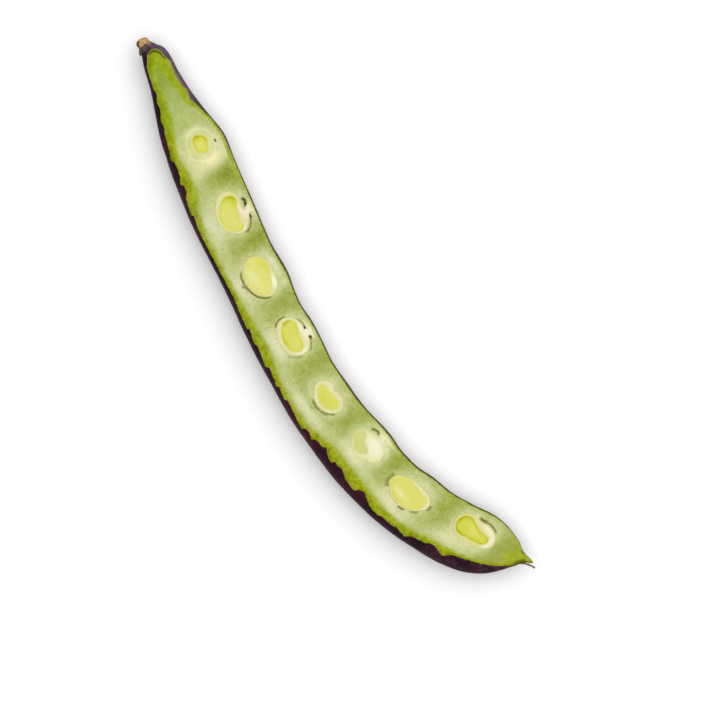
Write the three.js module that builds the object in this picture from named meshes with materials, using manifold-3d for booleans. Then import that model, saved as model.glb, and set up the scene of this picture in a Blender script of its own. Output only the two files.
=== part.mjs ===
// A purple pole bean pod, sliced lengthwise and lying on its skin with the cut face up.
//
// Millimetres. +X runs from the stem end to the tip, +Y towards the seam that carries the seeds,
// on the inside of the bend, and +Z up. Plan positions are measured along and across the straight
// line from the cut stem to the tip; the whole model is then centred over the floor.
import * as THREE from 'three';
import { mergeVertices } from 'three/addons/utils/BufferGeometryUtils.js';
import Module from 'manifold-3d';

const wasm = await Module();
wasm.setup();

// ---- driving dimensions -------------------------------------------------------------------

const AXIS_HEIGHT = 5.0;       // the pod's axis above the floor; its fullest half depth is 5.25
const GAP = 0.3;               // clearance between a piece and the one it sits in
const COAT = 0.45;             // seed coat thickness under the kernel
const RING_POINTS = 22;        // points across one section of the pod's skin
const SEED_POINTS = 20;        // points round a seed
const SEED_RINGS = [75, 50, 25, 0];   // degrees below the cut face, from a seed's bottom to its rim
const STUB_POINTS = 16;        // points round the cut stem
const LONGEST_RUN = 5;         // sections of the pod further apart than this get another between them
const WELD = 1e-4;             // points closer than this are one

// The pod from above: distance along it, its outer edge and its inner edge.
const OUTLINE = [
  [0.9, -1.6, 1.5], [2.0, -2.1, 2.0], [3.5, -2.8, 2.9], [5.0, -3.5, 3.1], [7.0, -4.2, 2.9],
  [10.0, -5.3, 2.4], [15.0, -7.7, 2.0], [20.0, -10.0, 2.0], [25.0, -11.7, 2.2], [28.0, -12.7, 2.2],
  [30.0, -13.3, 1.8], [35.0, -14.7, 0.5], [40.0, -15.9, -0.7], [50.0, -17.7, -3.0],
  [55.0, -18.5, -4.1], [60.0, -19.4, -4.6], [63.0, -20.1, -5.1], [66.0, -20.8, -6.0],
  [70.0, -21.5, -6.9], [75.0, -22.3, -7.2], [80.0, -23.0, -8.0], [85.0, -23.7, -8.9],
  [90.0, -24.2, -9.1], [97.0, -24.5, -9.1], [106.0, -24.4, -8.2], [110.0, -24.1, -8.3],
  [113.0, -23.7, -8.0], [116.0, -23.2, -7.5], [120.0, -22.4, -6.1], [125.0, -21.1, -4.8],
  [130.0, -19.3, -2.6], [135.0, -17.2, -0.1], [138.0, -15.6, 0.8], [141.0, -13.6, 1.1],
  [143.5, -11.1, 1.0], [145.0, -8.9, 0.6], [146.0, -6.7, 0.5], [147.0, -3.9, 0.6],
  [148.0, -0.9, 0.8], [149.2, 0.5, 0.9],
];

// Half the pod's depth, along it.
const HALF_DEPTH = [
  [0.9, 1.5], [2.1, 1.62], [2.7, 1.8], [3.7, 2.3], [5.5, 2.7], [7.3, 3.0], [11.0, 3.15],
  [14.6, 3.4], [22.0, 4.3], [30.0, 5.0], [40.0, 5.25], [120.0, 5.25], [131.8, 4.9],
  [137.3, 4.3], [140.9, 3.6], [143.7, 2.9], [145.5, 2.1], [147.1, 1.3], [149.2, 0.3],
];

// Width of skin left showing from above: distance along, on the outer side, on the inner side.
const SKIN_SHOWING = [
  [0.9, 1.4, 1.2], [3.5, 0.8, 1.0], [7.0, 0.7, 0.8], [12.0, 1.0, 0.8], [18.0, 1.4, 0.8], [22.0, 1.5, 0.3],
  [30.0, 1.5, 0.15], [40.0, 0.9, 0.15], [60.0, 1.0, 0.15], [90.0, 0.9, 0.15], [97.0, 1.8, 0.15],
  [110.0, 1.8, 0.15], [119.0, 1.3, 0.15], [126.0, 1.3, 0.15], [132.0, 2.9, 0.15], [143.5, 2.9, 0.1],
  [145.5, 1.8, 0.08], [147.0, 0.7, 0.05], [149.2, 0.05, 0.02],
];

// Each seed: its depth below the cut, and the outlines of its coat and of the kernel inside, each as
// a centre, half length and half width, turn in degrees, and how far the dent at the stalk goes in,
// as a share of the half width.
const SEEDS = [
  {
    depth: 1.9,
    coat: { at: [26.6, -3.5], half: [2.95, 2.75], turn: -22, dent: 0.04 },
    kernel: { at: [26.7, -3.5], half: [2.2, 1.95], turn: -20, dent: 0.0 },
  },
  {
    depth: 3.0,
    coat: { at: [43.9, -7.4], half: [4.95, 3.75], turn: -14, dent: 0.05 },
    kernel: { at: [43.95, -7.6], half: [4.2, 2.95], turn: -14, dent: 0.16 },
  },
  {
    depth: 3.0,
    coat: { at: [59.2, -10.7], half: [5.05, 3.75], turn: -10, dent: 0.0 },
    kernel: { at: [59.1, -10.8], half: [4.3, 3.0], turn: -11, dent: 0.03 },
  },
  {
    depth: 2.9,
    coat: { at: [74.8, -12.75], half: [4.85, 3.4], turn: -8, dent: 0.03 },
    kernel: { at: [74.65, -12.95], half: [3.9, 2.5], turn: -12, dent: 0.06 },
  },
  {
    depth: 2.8,
    coat: { at: [90.7, -14.7], half: [4.35, 3.1], turn: -3, dent: 0.1 },
    kernel: { at: [90.65, -14.85], half: [3.6, 2.3], turn: -3, dent: 0.14 },
  },
  {
    depth: 2.6,
    coat: { at: [105.0, -13.7], half: [4.2, 3.2], turn: -12, dent: 0.0 },
    kernel: { at: [104.3, -14.1], half: [2.7, 1.9], turn: -32, dent: 0.2 },
  },
  {
    depth: 3.0,
    coat: { at: [119.4, -13.0], half: [5.35, 3.4], turn: 13, dent: 0.02 },
    kernel: { at: [119.3, -13.1], half: [4.6, 2.65], turn: 13, dent: 0.0 },
  },
  {
    depth: 2.7,
    coat: { at: [135.7, -6.0], half: [5.2, 3.45], turn: 14, dent: 0.05 },
    kernel: { at: [135.4, -6.25], half: [4.1, 2.35], turn: 15, dent: 0.12 },
  },
];

// Seed stalks that the cut lays open: the seed's number and where the stalk meets the coat, in
// degrees round from the seed's long axis.
const FUNICLES = [[2, 78], [4, 92], [6, 100], [8, 84]];
const FUNICLE = { length: 1.0, straight: 0.6, rootWidth: 1.9, neckWidth: 1.1, depth: 1.1 };

// The cut stem, with its fullest place and its waist as shares of its length, and the dry scrap of
// calyx on the neck behind it; heights are above the axis.
const STUB = {
  from: -0.9, to: 0.6, y: -0.25, rim: 1.35, radius: 1.5, fullAt: 0.1, waist: 1.38, waistAt: 0.55,
};
const SCALE = { at: [1.55, -1.95, 1.2], half: [0.72, 0.24, 0.46], turn: -24, lean: -35 };

// The dry style at the tip: a thread past the pod's point, as x, y and height above the axis.
const STYLE = {
  radius: 0.16,
  route: [
    [147.7, -2.95, -0.25], [148.15, -1.8, -0.2], [148.8, -0.95, -0.1], [149.6, -0.2, 0.0],
    [150.4, 0.35, 0.1],
  ],
};

// ---- materials ----------------------------------------------------------------------------

function finish(color, roughness) {
  return new THREE.MeshStandardMaterial({ color, roughness, metalness: 0 });
}

const materials = {
  pod: finish(0x3a1f38, 0.45),
  coat: finish(0xe8e6b4, 0.4),
  cotyledon: finish(0xd3d957, 0.35),
  stalk: finish(0xeee8d2, 0.5),
  stub: finish(0xc69a69, 0.8),
  scale: finish(0x4a4526, 0.85),
  style: finish(0xb9ab7c, 0.8),
};

// ---- helpers ------------------------------------------------------------------------------

// A smooth curve through a table's rows: the value in one column at distance x.
function along(table, column) {
  const slopeAt = (i) => {
    const before = table[Math.max(i - 1, 0)];
    const after = table[Math.min(i + 1, table.length - 1)];
    return (after[column] - before[column]) / (after[0] - before[0]);
  };
  return (x) => {
    const last = table.length - 2;
    const found = table.findIndex((row) => row[0] > x) - 1;
    const i = found < 0 ? (x <= table[0][0] ? 0 : last) : found;
    const span = table[i + 1][0] - table[i][0];
    const t = THREE.MathUtils.clamp((x - table[i][0]) / span, 0, 1);
    const [p, q] = [table[i][column], table[i + 1][column]];
    const [m, n] = [slopeAt(i) * span, slopeAt(i + 1) * span];
    return p * (2 * t ** 3 - 3 * t ** 2 + 1) + m * (t ** 3 - 2 * t ** 2 + t)
      + q * (3 * t ** 2 - 2 * t ** 3) + n * (t ** 3 - t ** 2);
  };
}

// A closed body through rings of equal length, with a flat fan over each end. Rings run
// anticlockwise seen from the last one.
function loft(rings) {
  const count = rings[0].length;
  const positions = rings.flat().flat();
  const index = [];
  for (let r = 0; r + 1 < rings.length; r += 1) {
    for (let i = 0; i < count; i += 1) {
      const a = r * count + i;
      const b = r * count + (i + 1) % count;
      index.push(a, b, b + count, a, b + count, a + count);
    }
  }
  const top = (rings.length - 1) * count;
  for (let i = 1; i + 1 < count; i += 1) {
    index.push(0, i + 1, i);
    index.push(top, top + i, top + i + 1);
  }
  const geometry = new THREE.BufferGeometry();
  geometry.setAttribute('position', new THREE.Float32BufferAttribute(positions, 3));
  geometry.setIndex(index);
  return geometry;
}

function toManifold(geometry) {
  const bare = mergeVertices(geometry, WELD);
  return new wasm.Manifold(new wasm.Mesh({
    numProp: 3,
    vertProperties: Float32Array.from(bare.attributes.position.array),
    triVerts: Uint32Array.from(bare.index.array),
  }));
}

function fromManifold(manifold) {
  const mesh = manifold.getMesh();
  const geometry = new THREE.BufferGeometry();
  geometry.setAttribute('position', new THREE.Float32BufferAttribute(mesh.vertProperties, 3));
  geometry.setIndex([...mesh.triVerts]);
  return geometry;
}

const bean = new THREE.Group();
function add(name, geometry, material) {
  geometry.computeVertexNormals();
  const mesh = new THREE.Mesh(geometry, material);
  mesh.name = name;
  bean.add(mesh);
}

// ---- the pod's surface --------------------------------------------------------------------

const outerEdge = along(OUTLINE, 1);
const innerEdge = along(OUTLINE, 2);
const halfDepth = along(HALF_DEPTH, 1);
const outerSkin = along(SKIN_SHOWING, 1);
const innerSkin = along(SKIN_SHOWING, 2);

// One section: an ellipse, and the two angles on it where the cut meets the skin.
function section(x) {
  const centre = (outerEdge(x) + innerEdge(x)) / 2;
  const halfWidth = (innerEdge(x) - outerEdge(x)) / 2;
  return {
    point: (angle) => [
      x, centre + halfWidth * Math.cos(angle), Math.max(AXIS_HEIGHT + halfDepth(x) * Math.sin(angle), 0),
    ],
    inner: Math.acos(1 - innerSkin(x) / halfWidth),
    outer: Math.PI - Math.acos(1 - outerSkin(x) / halfWidth),
  };
}

// Height of the cut face: straight across from skin to skin.
function cutHeight(x, y) {
  const { point, inner, outer } = section(x);
  const [, y0, z0] = point(outer);
  const [, y1, z1] = point(inner);
  return z0 + (z1 - z0) * (y - y0) / (y1 - y0);
}

function podBlank() {
  const stations = OUTLINE.map((row) => row[0]);
  const steps = stations.slice(0, -1).flatMap((x, i) => {
    const next = stations[i + 1];
    return next - x > LONGEST_RUN ? [x, (x + next) / 2] : [x];
  });
  const rings = [...steps, stations.at(-1)].map((x) => {
    const { point, inner, outer } = section(x);
    const sweep = outer - 2 * Math.PI - inner;   // round below, from the inner edge to the outer
    return Array.from({ length: RING_POINTS }, (_, i) => point(outer - sweep * i / (RING_POINTS - 1)));
  });
  return loft(rings);
}

// ---- seeds --------------------------------------------------------------------------------

const DENT_SPREAD = 0.5;   // radians either side of the stalk
const STALK_SIDE = Math.PI / 2;

// A point on a coat's or kernel's outline, grown outwards, at a share of its radius.
function outlinePoint(shape, angle, grow, share = 1) {
  const turn = THREE.MathUtils.degToRad(shape.turn);
  const dent = 1 - shape.dent * Math.exp(-(((angle - STALK_SIDE) / DENT_SPREAD) ** 2));
  const u = (shape.half[0] + grow) * Math.cos(angle) * share;
  const v = (shape.half[1] + grow) * Math.sin(angle) * dent * share;
  return [
    shape.at[0] + u * Math.cos(turn) - v * Math.sin(turn),
    shape.at[1] + u * Math.sin(turn) + v * Math.cos(turn),
  ];
}

// A bowl below an outline, as rings from its bottom to its rim on the cut face, and on up if lifted.
function bowlRings(shape, depth, grow, lift = 0) {
  const ring = (share, drop) => Array.from({ length: SEED_POINTS }, (_, i) => {
    const [x, y] = outlinePoint(shape, 2 * Math.PI * i / SEED_POINTS, grow, share);
    return [x, y, cutHeight(x, y) - drop];
  });
  const rings = SEED_RINGS.map((degrees) => {
    const below = THREE.MathUtils.degToRad(degrees);
    return ring(Math.cos(below), depth * Math.sin(below));
  });
  return lift > 0 ? [...rings, ring(1, -lift)] : rings;
}

// ---- seed stalks --------------------------------------------------------------------------

// A short bar from the seed's coat towards the seam, wider where it leaves the pod wall.
function stalk([number, degrees], grow, lift) {
  const { coat } = SEEDS[number - 1];
  const angle = THREE.MathUtils.degToRad(degrees);
  const [x0, y0] = outlinePoint(coat, angle, 0);
  const turn = THREE.MathUtils.degToRad(coat.turn) + angle;
  const [dx, dy] = [Math.cos(turn), Math.sin(turn)];
  const at = (distance, width) => {
    const [x, y] = [x0 + dx * distance, y0 + dy * distance];
    const side = width / 2 + grow;
    const right = [x + dy * side, y - dx * side];
    const left = [x - dy * side, y + dx * side];
    const low = FUNICLE.depth + grow;
    return [
      [...right, cutHeight(...right) - low], [...left, cutHeight(...left) - low],
      [...left, cutHeight(...left) + lift], [...right, cutHeight(...right) + lift],
    ];
  };
  const start = grow > 0 ? 0 : GAP;
  return loft([
    at(start, FUNICLE.neckWidth),
    at(GAP + FUNICLE.length * FUNICLE.straight, FUNICLE.neckWidth),
    at(GAP + FUNICLE.length + grow, FUNICLE.rootWidth),
  ]);
}

// ---- assembly -----------------------------------------------------------------------------

const CLEAR_ABOVE = 2;   // cutters stand this far out of the cut face

let pod = toManifold(podBlank());
for (const { coat, depth } of SEEDS) {
  pod = pod.subtract(toManifold(loft(bowlRings(coat, depth + GAP, GAP, CLEAR_ABOVE))));
}
for (const funicle of FUNICLES) {
  pod = pod.subtract(toManifold(stalk(funicle, GAP, CLEAR_ABOVE)));
}
add('pod_half', fromManifold(pod), materials.pod);

SEEDS.forEach(({ coat, kernel, depth }, i) => {
  const inside = bowlRings(kernel, depth - COAT, GAP).reverse();
  add(`seed_coat_${i + 1}`, loft([...bowlRings(coat, depth, 0), ...inside]), materials.coat);
  add(`cotyledon_${i + 1}`, loft(bowlRings(kernel, depth - COAT - GAP, 0)), materials.cotyledon);
});

for (const funicle of FUNICLES) {
  add(`funicle_${funicle[0]}`, stalk(funicle, 0, 0), materials.stalk);
}

// The cut pedicel: a short stub, waisted just behind its cut end.
function pedicelStub() {
  const ring = (x, radius) => Array.from({ length: STUB_POINTS }, (_, i) => {
    const angle = 2 * Math.PI * i / STUB_POINTS;
    return [x, STUB.y + radius * Math.cos(angle), AXIS_HEIGHT + radius * Math.sin(angle)];
  });
  const at = (share) => STUB.from + share * (STUB.to - STUB.from);
  return loft([
    ring(STUB.from, STUB.rim), ring(at(STUB.fullAt), STUB.radius),
    ring(at(STUB.waistAt), STUB.waist), ring(STUB.to, STUB.radius),
  ]);
}
add('pedicel_stub', pedicelStub(), materials.stub);

// A dry scrap of calyx, leaning on the neck behind the stub and clear of its skin.
function calyxScale() {
  const scrap = new THREE.SphereGeometry(1, 12, 7);
  scrap.scale(...SCALE.half);
  scrap.rotateX(THREE.MathUtils.degToRad(SCALE.lean));
  scrap.rotateZ(THREE.MathUtils.degToRad(SCALE.turn));
  scrap.translate(SCALE.at[0], SCALE.at[1], AXIS_HEIGHT + SCALE.at[2]);
  scrap.deleteAttribute('normal');
  scrap.deleteAttribute('uv');
  return mergeVertices(scrap, WELD);
}
add('calyx_remnant', calyxScale(), materials.scale);

function styleThread() {
  const route = new THREE.CatmullRomCurve3(
    STYLE.route.map(([x, y, z]) => new THREE.Vector3(x, y, AXIS_HEIGHT + z)),
  );
  const round = new THREE.Shape().absarc(0, 0, STYLE.radius, 0, 2 * Math.PI);
  const thread = new THREE.ExtrudeGeometry(round, { steps: 8, curveSegments: 4, extrudePath: route });
  thread.deleteAttribute('normal');
  thread.deleteAttribute('uv');
  return mergeVertices(thread, WELD);
}
add('style_tail', styleThread(), materials.style);

// Centred over the floor, standing on it.
const box = new THREE.Box3().setFromObject(bean);
const middle = box.getCenter(new THREE.Vector3());
bean.position.set(-middle.x, -middle.y, -box.min.z);

export default bean;
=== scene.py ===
# The looks of a purple pole bean pod, sliced lengthwise, lying on a pale floor with its cut face up.
#
# Lengths are millimetres unless a name says otherwise. Places on the pod are measured from its cut
# stem: x along the straight line to the tip, y across it towards the inside of the bend, z up from
# the floor. to_frame() turns them into metres in the row frame.
import math

import bpy
import numpy as np
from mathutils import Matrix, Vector


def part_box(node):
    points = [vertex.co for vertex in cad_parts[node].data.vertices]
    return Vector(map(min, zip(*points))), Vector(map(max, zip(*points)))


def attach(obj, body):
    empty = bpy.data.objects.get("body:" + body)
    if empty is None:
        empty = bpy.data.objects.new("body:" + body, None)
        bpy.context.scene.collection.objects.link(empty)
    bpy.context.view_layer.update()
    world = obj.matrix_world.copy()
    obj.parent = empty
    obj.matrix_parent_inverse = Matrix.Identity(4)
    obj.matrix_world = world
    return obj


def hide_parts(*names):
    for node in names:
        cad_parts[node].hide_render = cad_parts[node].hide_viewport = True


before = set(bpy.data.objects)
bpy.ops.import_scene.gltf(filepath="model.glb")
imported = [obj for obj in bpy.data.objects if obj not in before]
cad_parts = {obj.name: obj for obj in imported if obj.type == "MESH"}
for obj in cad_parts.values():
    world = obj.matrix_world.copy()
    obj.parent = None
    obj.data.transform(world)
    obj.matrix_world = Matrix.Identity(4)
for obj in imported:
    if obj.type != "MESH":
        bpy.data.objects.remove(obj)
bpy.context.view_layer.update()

MM = 0.001
TAU = 2 * math.pi

# ---- the pod's shape, as in the CAD model --------------------------------------------------------

AXIS_HEIGHT = 5.0

# Distance along the pod, its outer edge and its inner edge, from above.
OUTLINE = [
    [0.9, -1.6, 1.5], [2.0, -2.1, 2.0], [3.5, -2.8, 2.9], [5.0, -3.5, 3.1], [7.0, -4.2, 2.9],
    [10.0, -5.3, 2.4], [15.0, -7.7, 2.0], [20.0, -10.0, 2.0], [25.0, -11.7, 2.2], [28.0, -12.7, 2.2],
    [30.0, -13.3, 1.8], [35.0, -14.7, 0.5], [40.0, -15.9, -0.7], [50.0, -17.7, -3.0],
    [55.0, -18.5, -4.1], [60.0, -19.4, -4.6], [63.0, -20.1, -5.1], [66.0, -20.8, -6.0],
    [70.0, -21.5, -6.9], [75.0, -22.3, -7.2], [80.0, -23.0, -8.0], [85.0, -23.7, -8.9],
    [90.0, -24.2, -9.1], [97.0, -24.5, -9.1], [106.0, -24.4, -8.2], [110.0, -24.1, -8.3],
    [113.0, -23.7, -8.0], [116.0, -23.2, -7.5], [120.0, -22.4, -6.1], [125.0, -21.1, -4.8],
    [130.0, -19.3, -2.6], [135.0, -17.2, -0.1], [138.0, -15.6, 0.8], [141.0, -13.6, 1.1],
    [143.5, -11.1, 1.0], [145.0, -8.9, 0.6], [146.0, -6.7, 0.5], [147.0, -3.9, 0.6],
    [148.0, -0.9, 0.8], [149.2, 0.5, 0.9],
]

# Distance along, half the pod's depth.
HALF_DEPTH = [
    [0.9, 1.5], [2.1, 1.62], [2.7, 1.8], [3.7, 2.3], [5.5, 2.7], [7.3, 3.0], [11.0, 3.15],
    [14.6, 3.4], [22.0, 4.3], [30.0, 5.0], [40.0, 5.25], [120.0, 5.25], [131.8, 4.9],
    [137.3, 4.3], [140.9, 3.6], [143.7, 2.9], [145.5, 2.1], [147.1, 1.3], [149.2, 0.3],
]

# Distance along, width of skin left showing from above on the outer side and on the inner side.
SKIN_SHOWING = [
    [2.7, 1.3, 1.2], [3.5, 0.8, 1.0], [7.0, 0.7, 0.8], [12.0, 1.0, 0.8], [18.0, 1.4, 0.8], [22.0, 1.5, 0.3],
    [30.0, 1.5, 0.15], [40.0, 0.9, 0.15], [60.0, 1.0, 0.15], [90.0, 0.9, 0.15], [97.0, 1.8, 0.15],
    [110.0, 1.8, 0.15], [119.0, 1.3, 0.15], [126.0, 1.3, 0.15], [132.0, 2.9, 0.15], [143.5, 2.9, 0.1],
    [145.5, 1.8, 0.08], [147.0, 0.7, 0.05], [149.2, 0.05, 0.02],
]
CUT_START = 2.6          # the knife enters here; before it the neck keeps its skin all round

# Where the torn outer skin ends and the green wall shows, along the pod's outer side.
TORN_EDGE = [
    [2.7, 0.3], [2.75, -0.3], [3.0, -0.95], [3.6, -1.55], [4.5, -2.2], [5.3, -2.85], [6.2, -3.25],
    [7.1, -3.55], [8.7, -4.1], [10.4, -4.7], [10.9, -4.6], [11.9, -4.7], [12.4, -5.3], [13.4, -5.9],
    [15.0, -6.2], [15.9, -6.7], [17.0, -7.5], [18.2, -7.8], [19.0, -7.9], [20.2, -8.7], [21.7, -9.3],
    [24.0, -10.2], [26.0, -11.15], [26.6, -10.75], [27.3, -10.8], [28.6, -11.2], [30.0, -11.6],
    [31.6, -12.75], [32.3, -12.1], [34.1, -12.7], [34.8, -13.5], [36.6, -14.2], [38.7, -14.9],
    [39.2, -14.4], [42.1, -15.4], [44.8, -16.0], [49.8, -16.7], [54.9, -17.5], [59.9, -18.3],
    [63.3, -19.2], [67.1, -20.0], [67.6, -19.6], [70.7, -20.7], [71.9, -20.45], [74.5, -21.2],
    [76.7, -21.8], [77.4, -21.2], [80.3, -22.0], [81.6, -22.5], [82.1, -22.0], [85.2, -22.8],
    [85.7, -22.3], [89.2, -22.9], [91.5, -23.4], [92.9, -23.55], [93.4, -22.8], [94.6, -22.6],
    [96.2, -23.2], [96.8, -22.4], [99.1, -22.2], [99.7, -21.6], [101.6, -22.5], [103.1, -22.9],
    [103.6, -21.9], [104.6, -22.05], [105.9, -21.6], [108.3, -22.4], [111.3, -22.4], [111.9, -21.3],
    [113.1, -20.7], [114.6, -21.2], [116.6, -21.6], [119.0, -21.4], [119.8, -20.8], [122.9, -20.15],
    [124.0, -19.5], [126.7, -19.3], [127.2, -18.5], [127.9, -17.8], [130.6, -16.4], [131.4, -15.5],
    [132.3, -15.1], [135.3, -15.0], [135.8, -14.2], [136.5, -13.0], [139.0, -11.3], [140.4, -10.2],
    [141.7, -9.3], [143.1, -8.0], [144.5, -6.7], [145.5, -5.3], [146.4, -3.9], [146.8, -3.0],
    [146.95, -2.2], [147.15, -1.2], [147.6, -0.6], [148.1, -0.1], [148.6, 0.25], [149.2, 0.65],
]
# The same along the inner side: skin shows only near the stem, then it is a thin line at the rim.
INNER_SKIN_EDGE = [
    [2.7, 0.3], [2.8, 0.85], [3.2, 1.48], [3.9, 1.9], [4.6, 2.0], [5.3, 1.9], [6.2, 2.17], [7.1, 2.25],
    [7.9, 2.1], [8.8, 1.8], [10.4, 1.45], [11.6, 1.3], [12.7, 1.15], [13.9, 1.1], [14.5, 1.4],
    [15.6, 1.15], [17.2, 0.75], [18.5, 1.15], [20.4, 1.45], [22.7, 1.85],
]
# How far the thin line of skin reaches in over the inner rim.
INNER_RIM = [
    [2.6, 0.14], [20.0, 0.14], [25.0, 0.08], [30.0, 0.14], [33.0, 0.07], [42.0, 0.06], [46.0, 0.12],
    [54.0, 0.16], [60.0, 0.28], [64.0, 0.15], [88.0, 0.14], [95.0, 0.26], [99.0, 0.15], [103.0, 0.13],
    [108.0, 0.20], [116.0, 0.18], [128.0, 0.12], [130.0, 0.20], [133.0, 0.18], [137.0, 0.05], [149.2, 0.03],
]

# The inner border of the bright green wall that runs along the cut's outer side.
WALL_BORDER = [
    [2.6, 4.0], [4.5, 2.0], [5.6, 0.4], [6.5, -1.2], [8.0, -2.3], [10.0, -3.0], [13.0, -3.5], [15.0, -4.1],
    [18.0, -5.1], [20.0, -6.1], [22.0, -7.2], [24.5, -8.5], [27.5, -9.5], [31.0, -9.7],
    [34.0, -10.4], [37.0, -11.4], [39.0, -12.7], [42.0, -13.9], [45.0, -15.1], [50.0, -15.6],
    [52.0, -16.2], [56.0, -16.7], [60.0, -17.3], [64.0, -17.7], [68.0, -18.0], [73.0, -18.5],
    [75.0, -19.0], [78.0, -20.1], [80.0, -20.6], [83.0, -21.3], [86.0, -21.6], [90.0, -21.9],
    [93.0, -22.0], [95.0, -21.6], [98.0, -20.8], [100.0, -20.2], [102.5, -20.0], [105.0, -20.0],
    [108.0, -19.7], [113.0, -19.6], [117.0, -19.5], [120.0, -19.1], [123.0, -18.4], [126.0, -17.3],
    [128.0, -16.4], [130.0, -15.2], [132.0, -14.2], [134.0, -13.2], [135.5, -12.4], [137.0, -11.8],
    [139.0, -10.5], [142.0, -8.2], [144.5, -5.5], [146.2, -2.6], [147.0, -0.5], [149.2, 1.2],
]
# The same along the inner side: a narrower green band under the skin, and below the rim.
INNER_WALL = [
    [2.6, 2.6], [7.0, 2.4], [9.0, 2.2], [11.0, 2.1], [13.0, 1.9], [15.0, 1.8], [17.0, 1.4], [19.0, 1.0],
    [21.0, 0.8], [23.0, 0.6], [27.0, 0.6], [31.0, 0.9], [35.0, 1.2], [38.0, 1.1], [41.0, 0.6], [44.0, 0.1],
    [149.2, 0.1],
]

# ---- the seeds -----------------------------------------------------------------------------------

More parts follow.
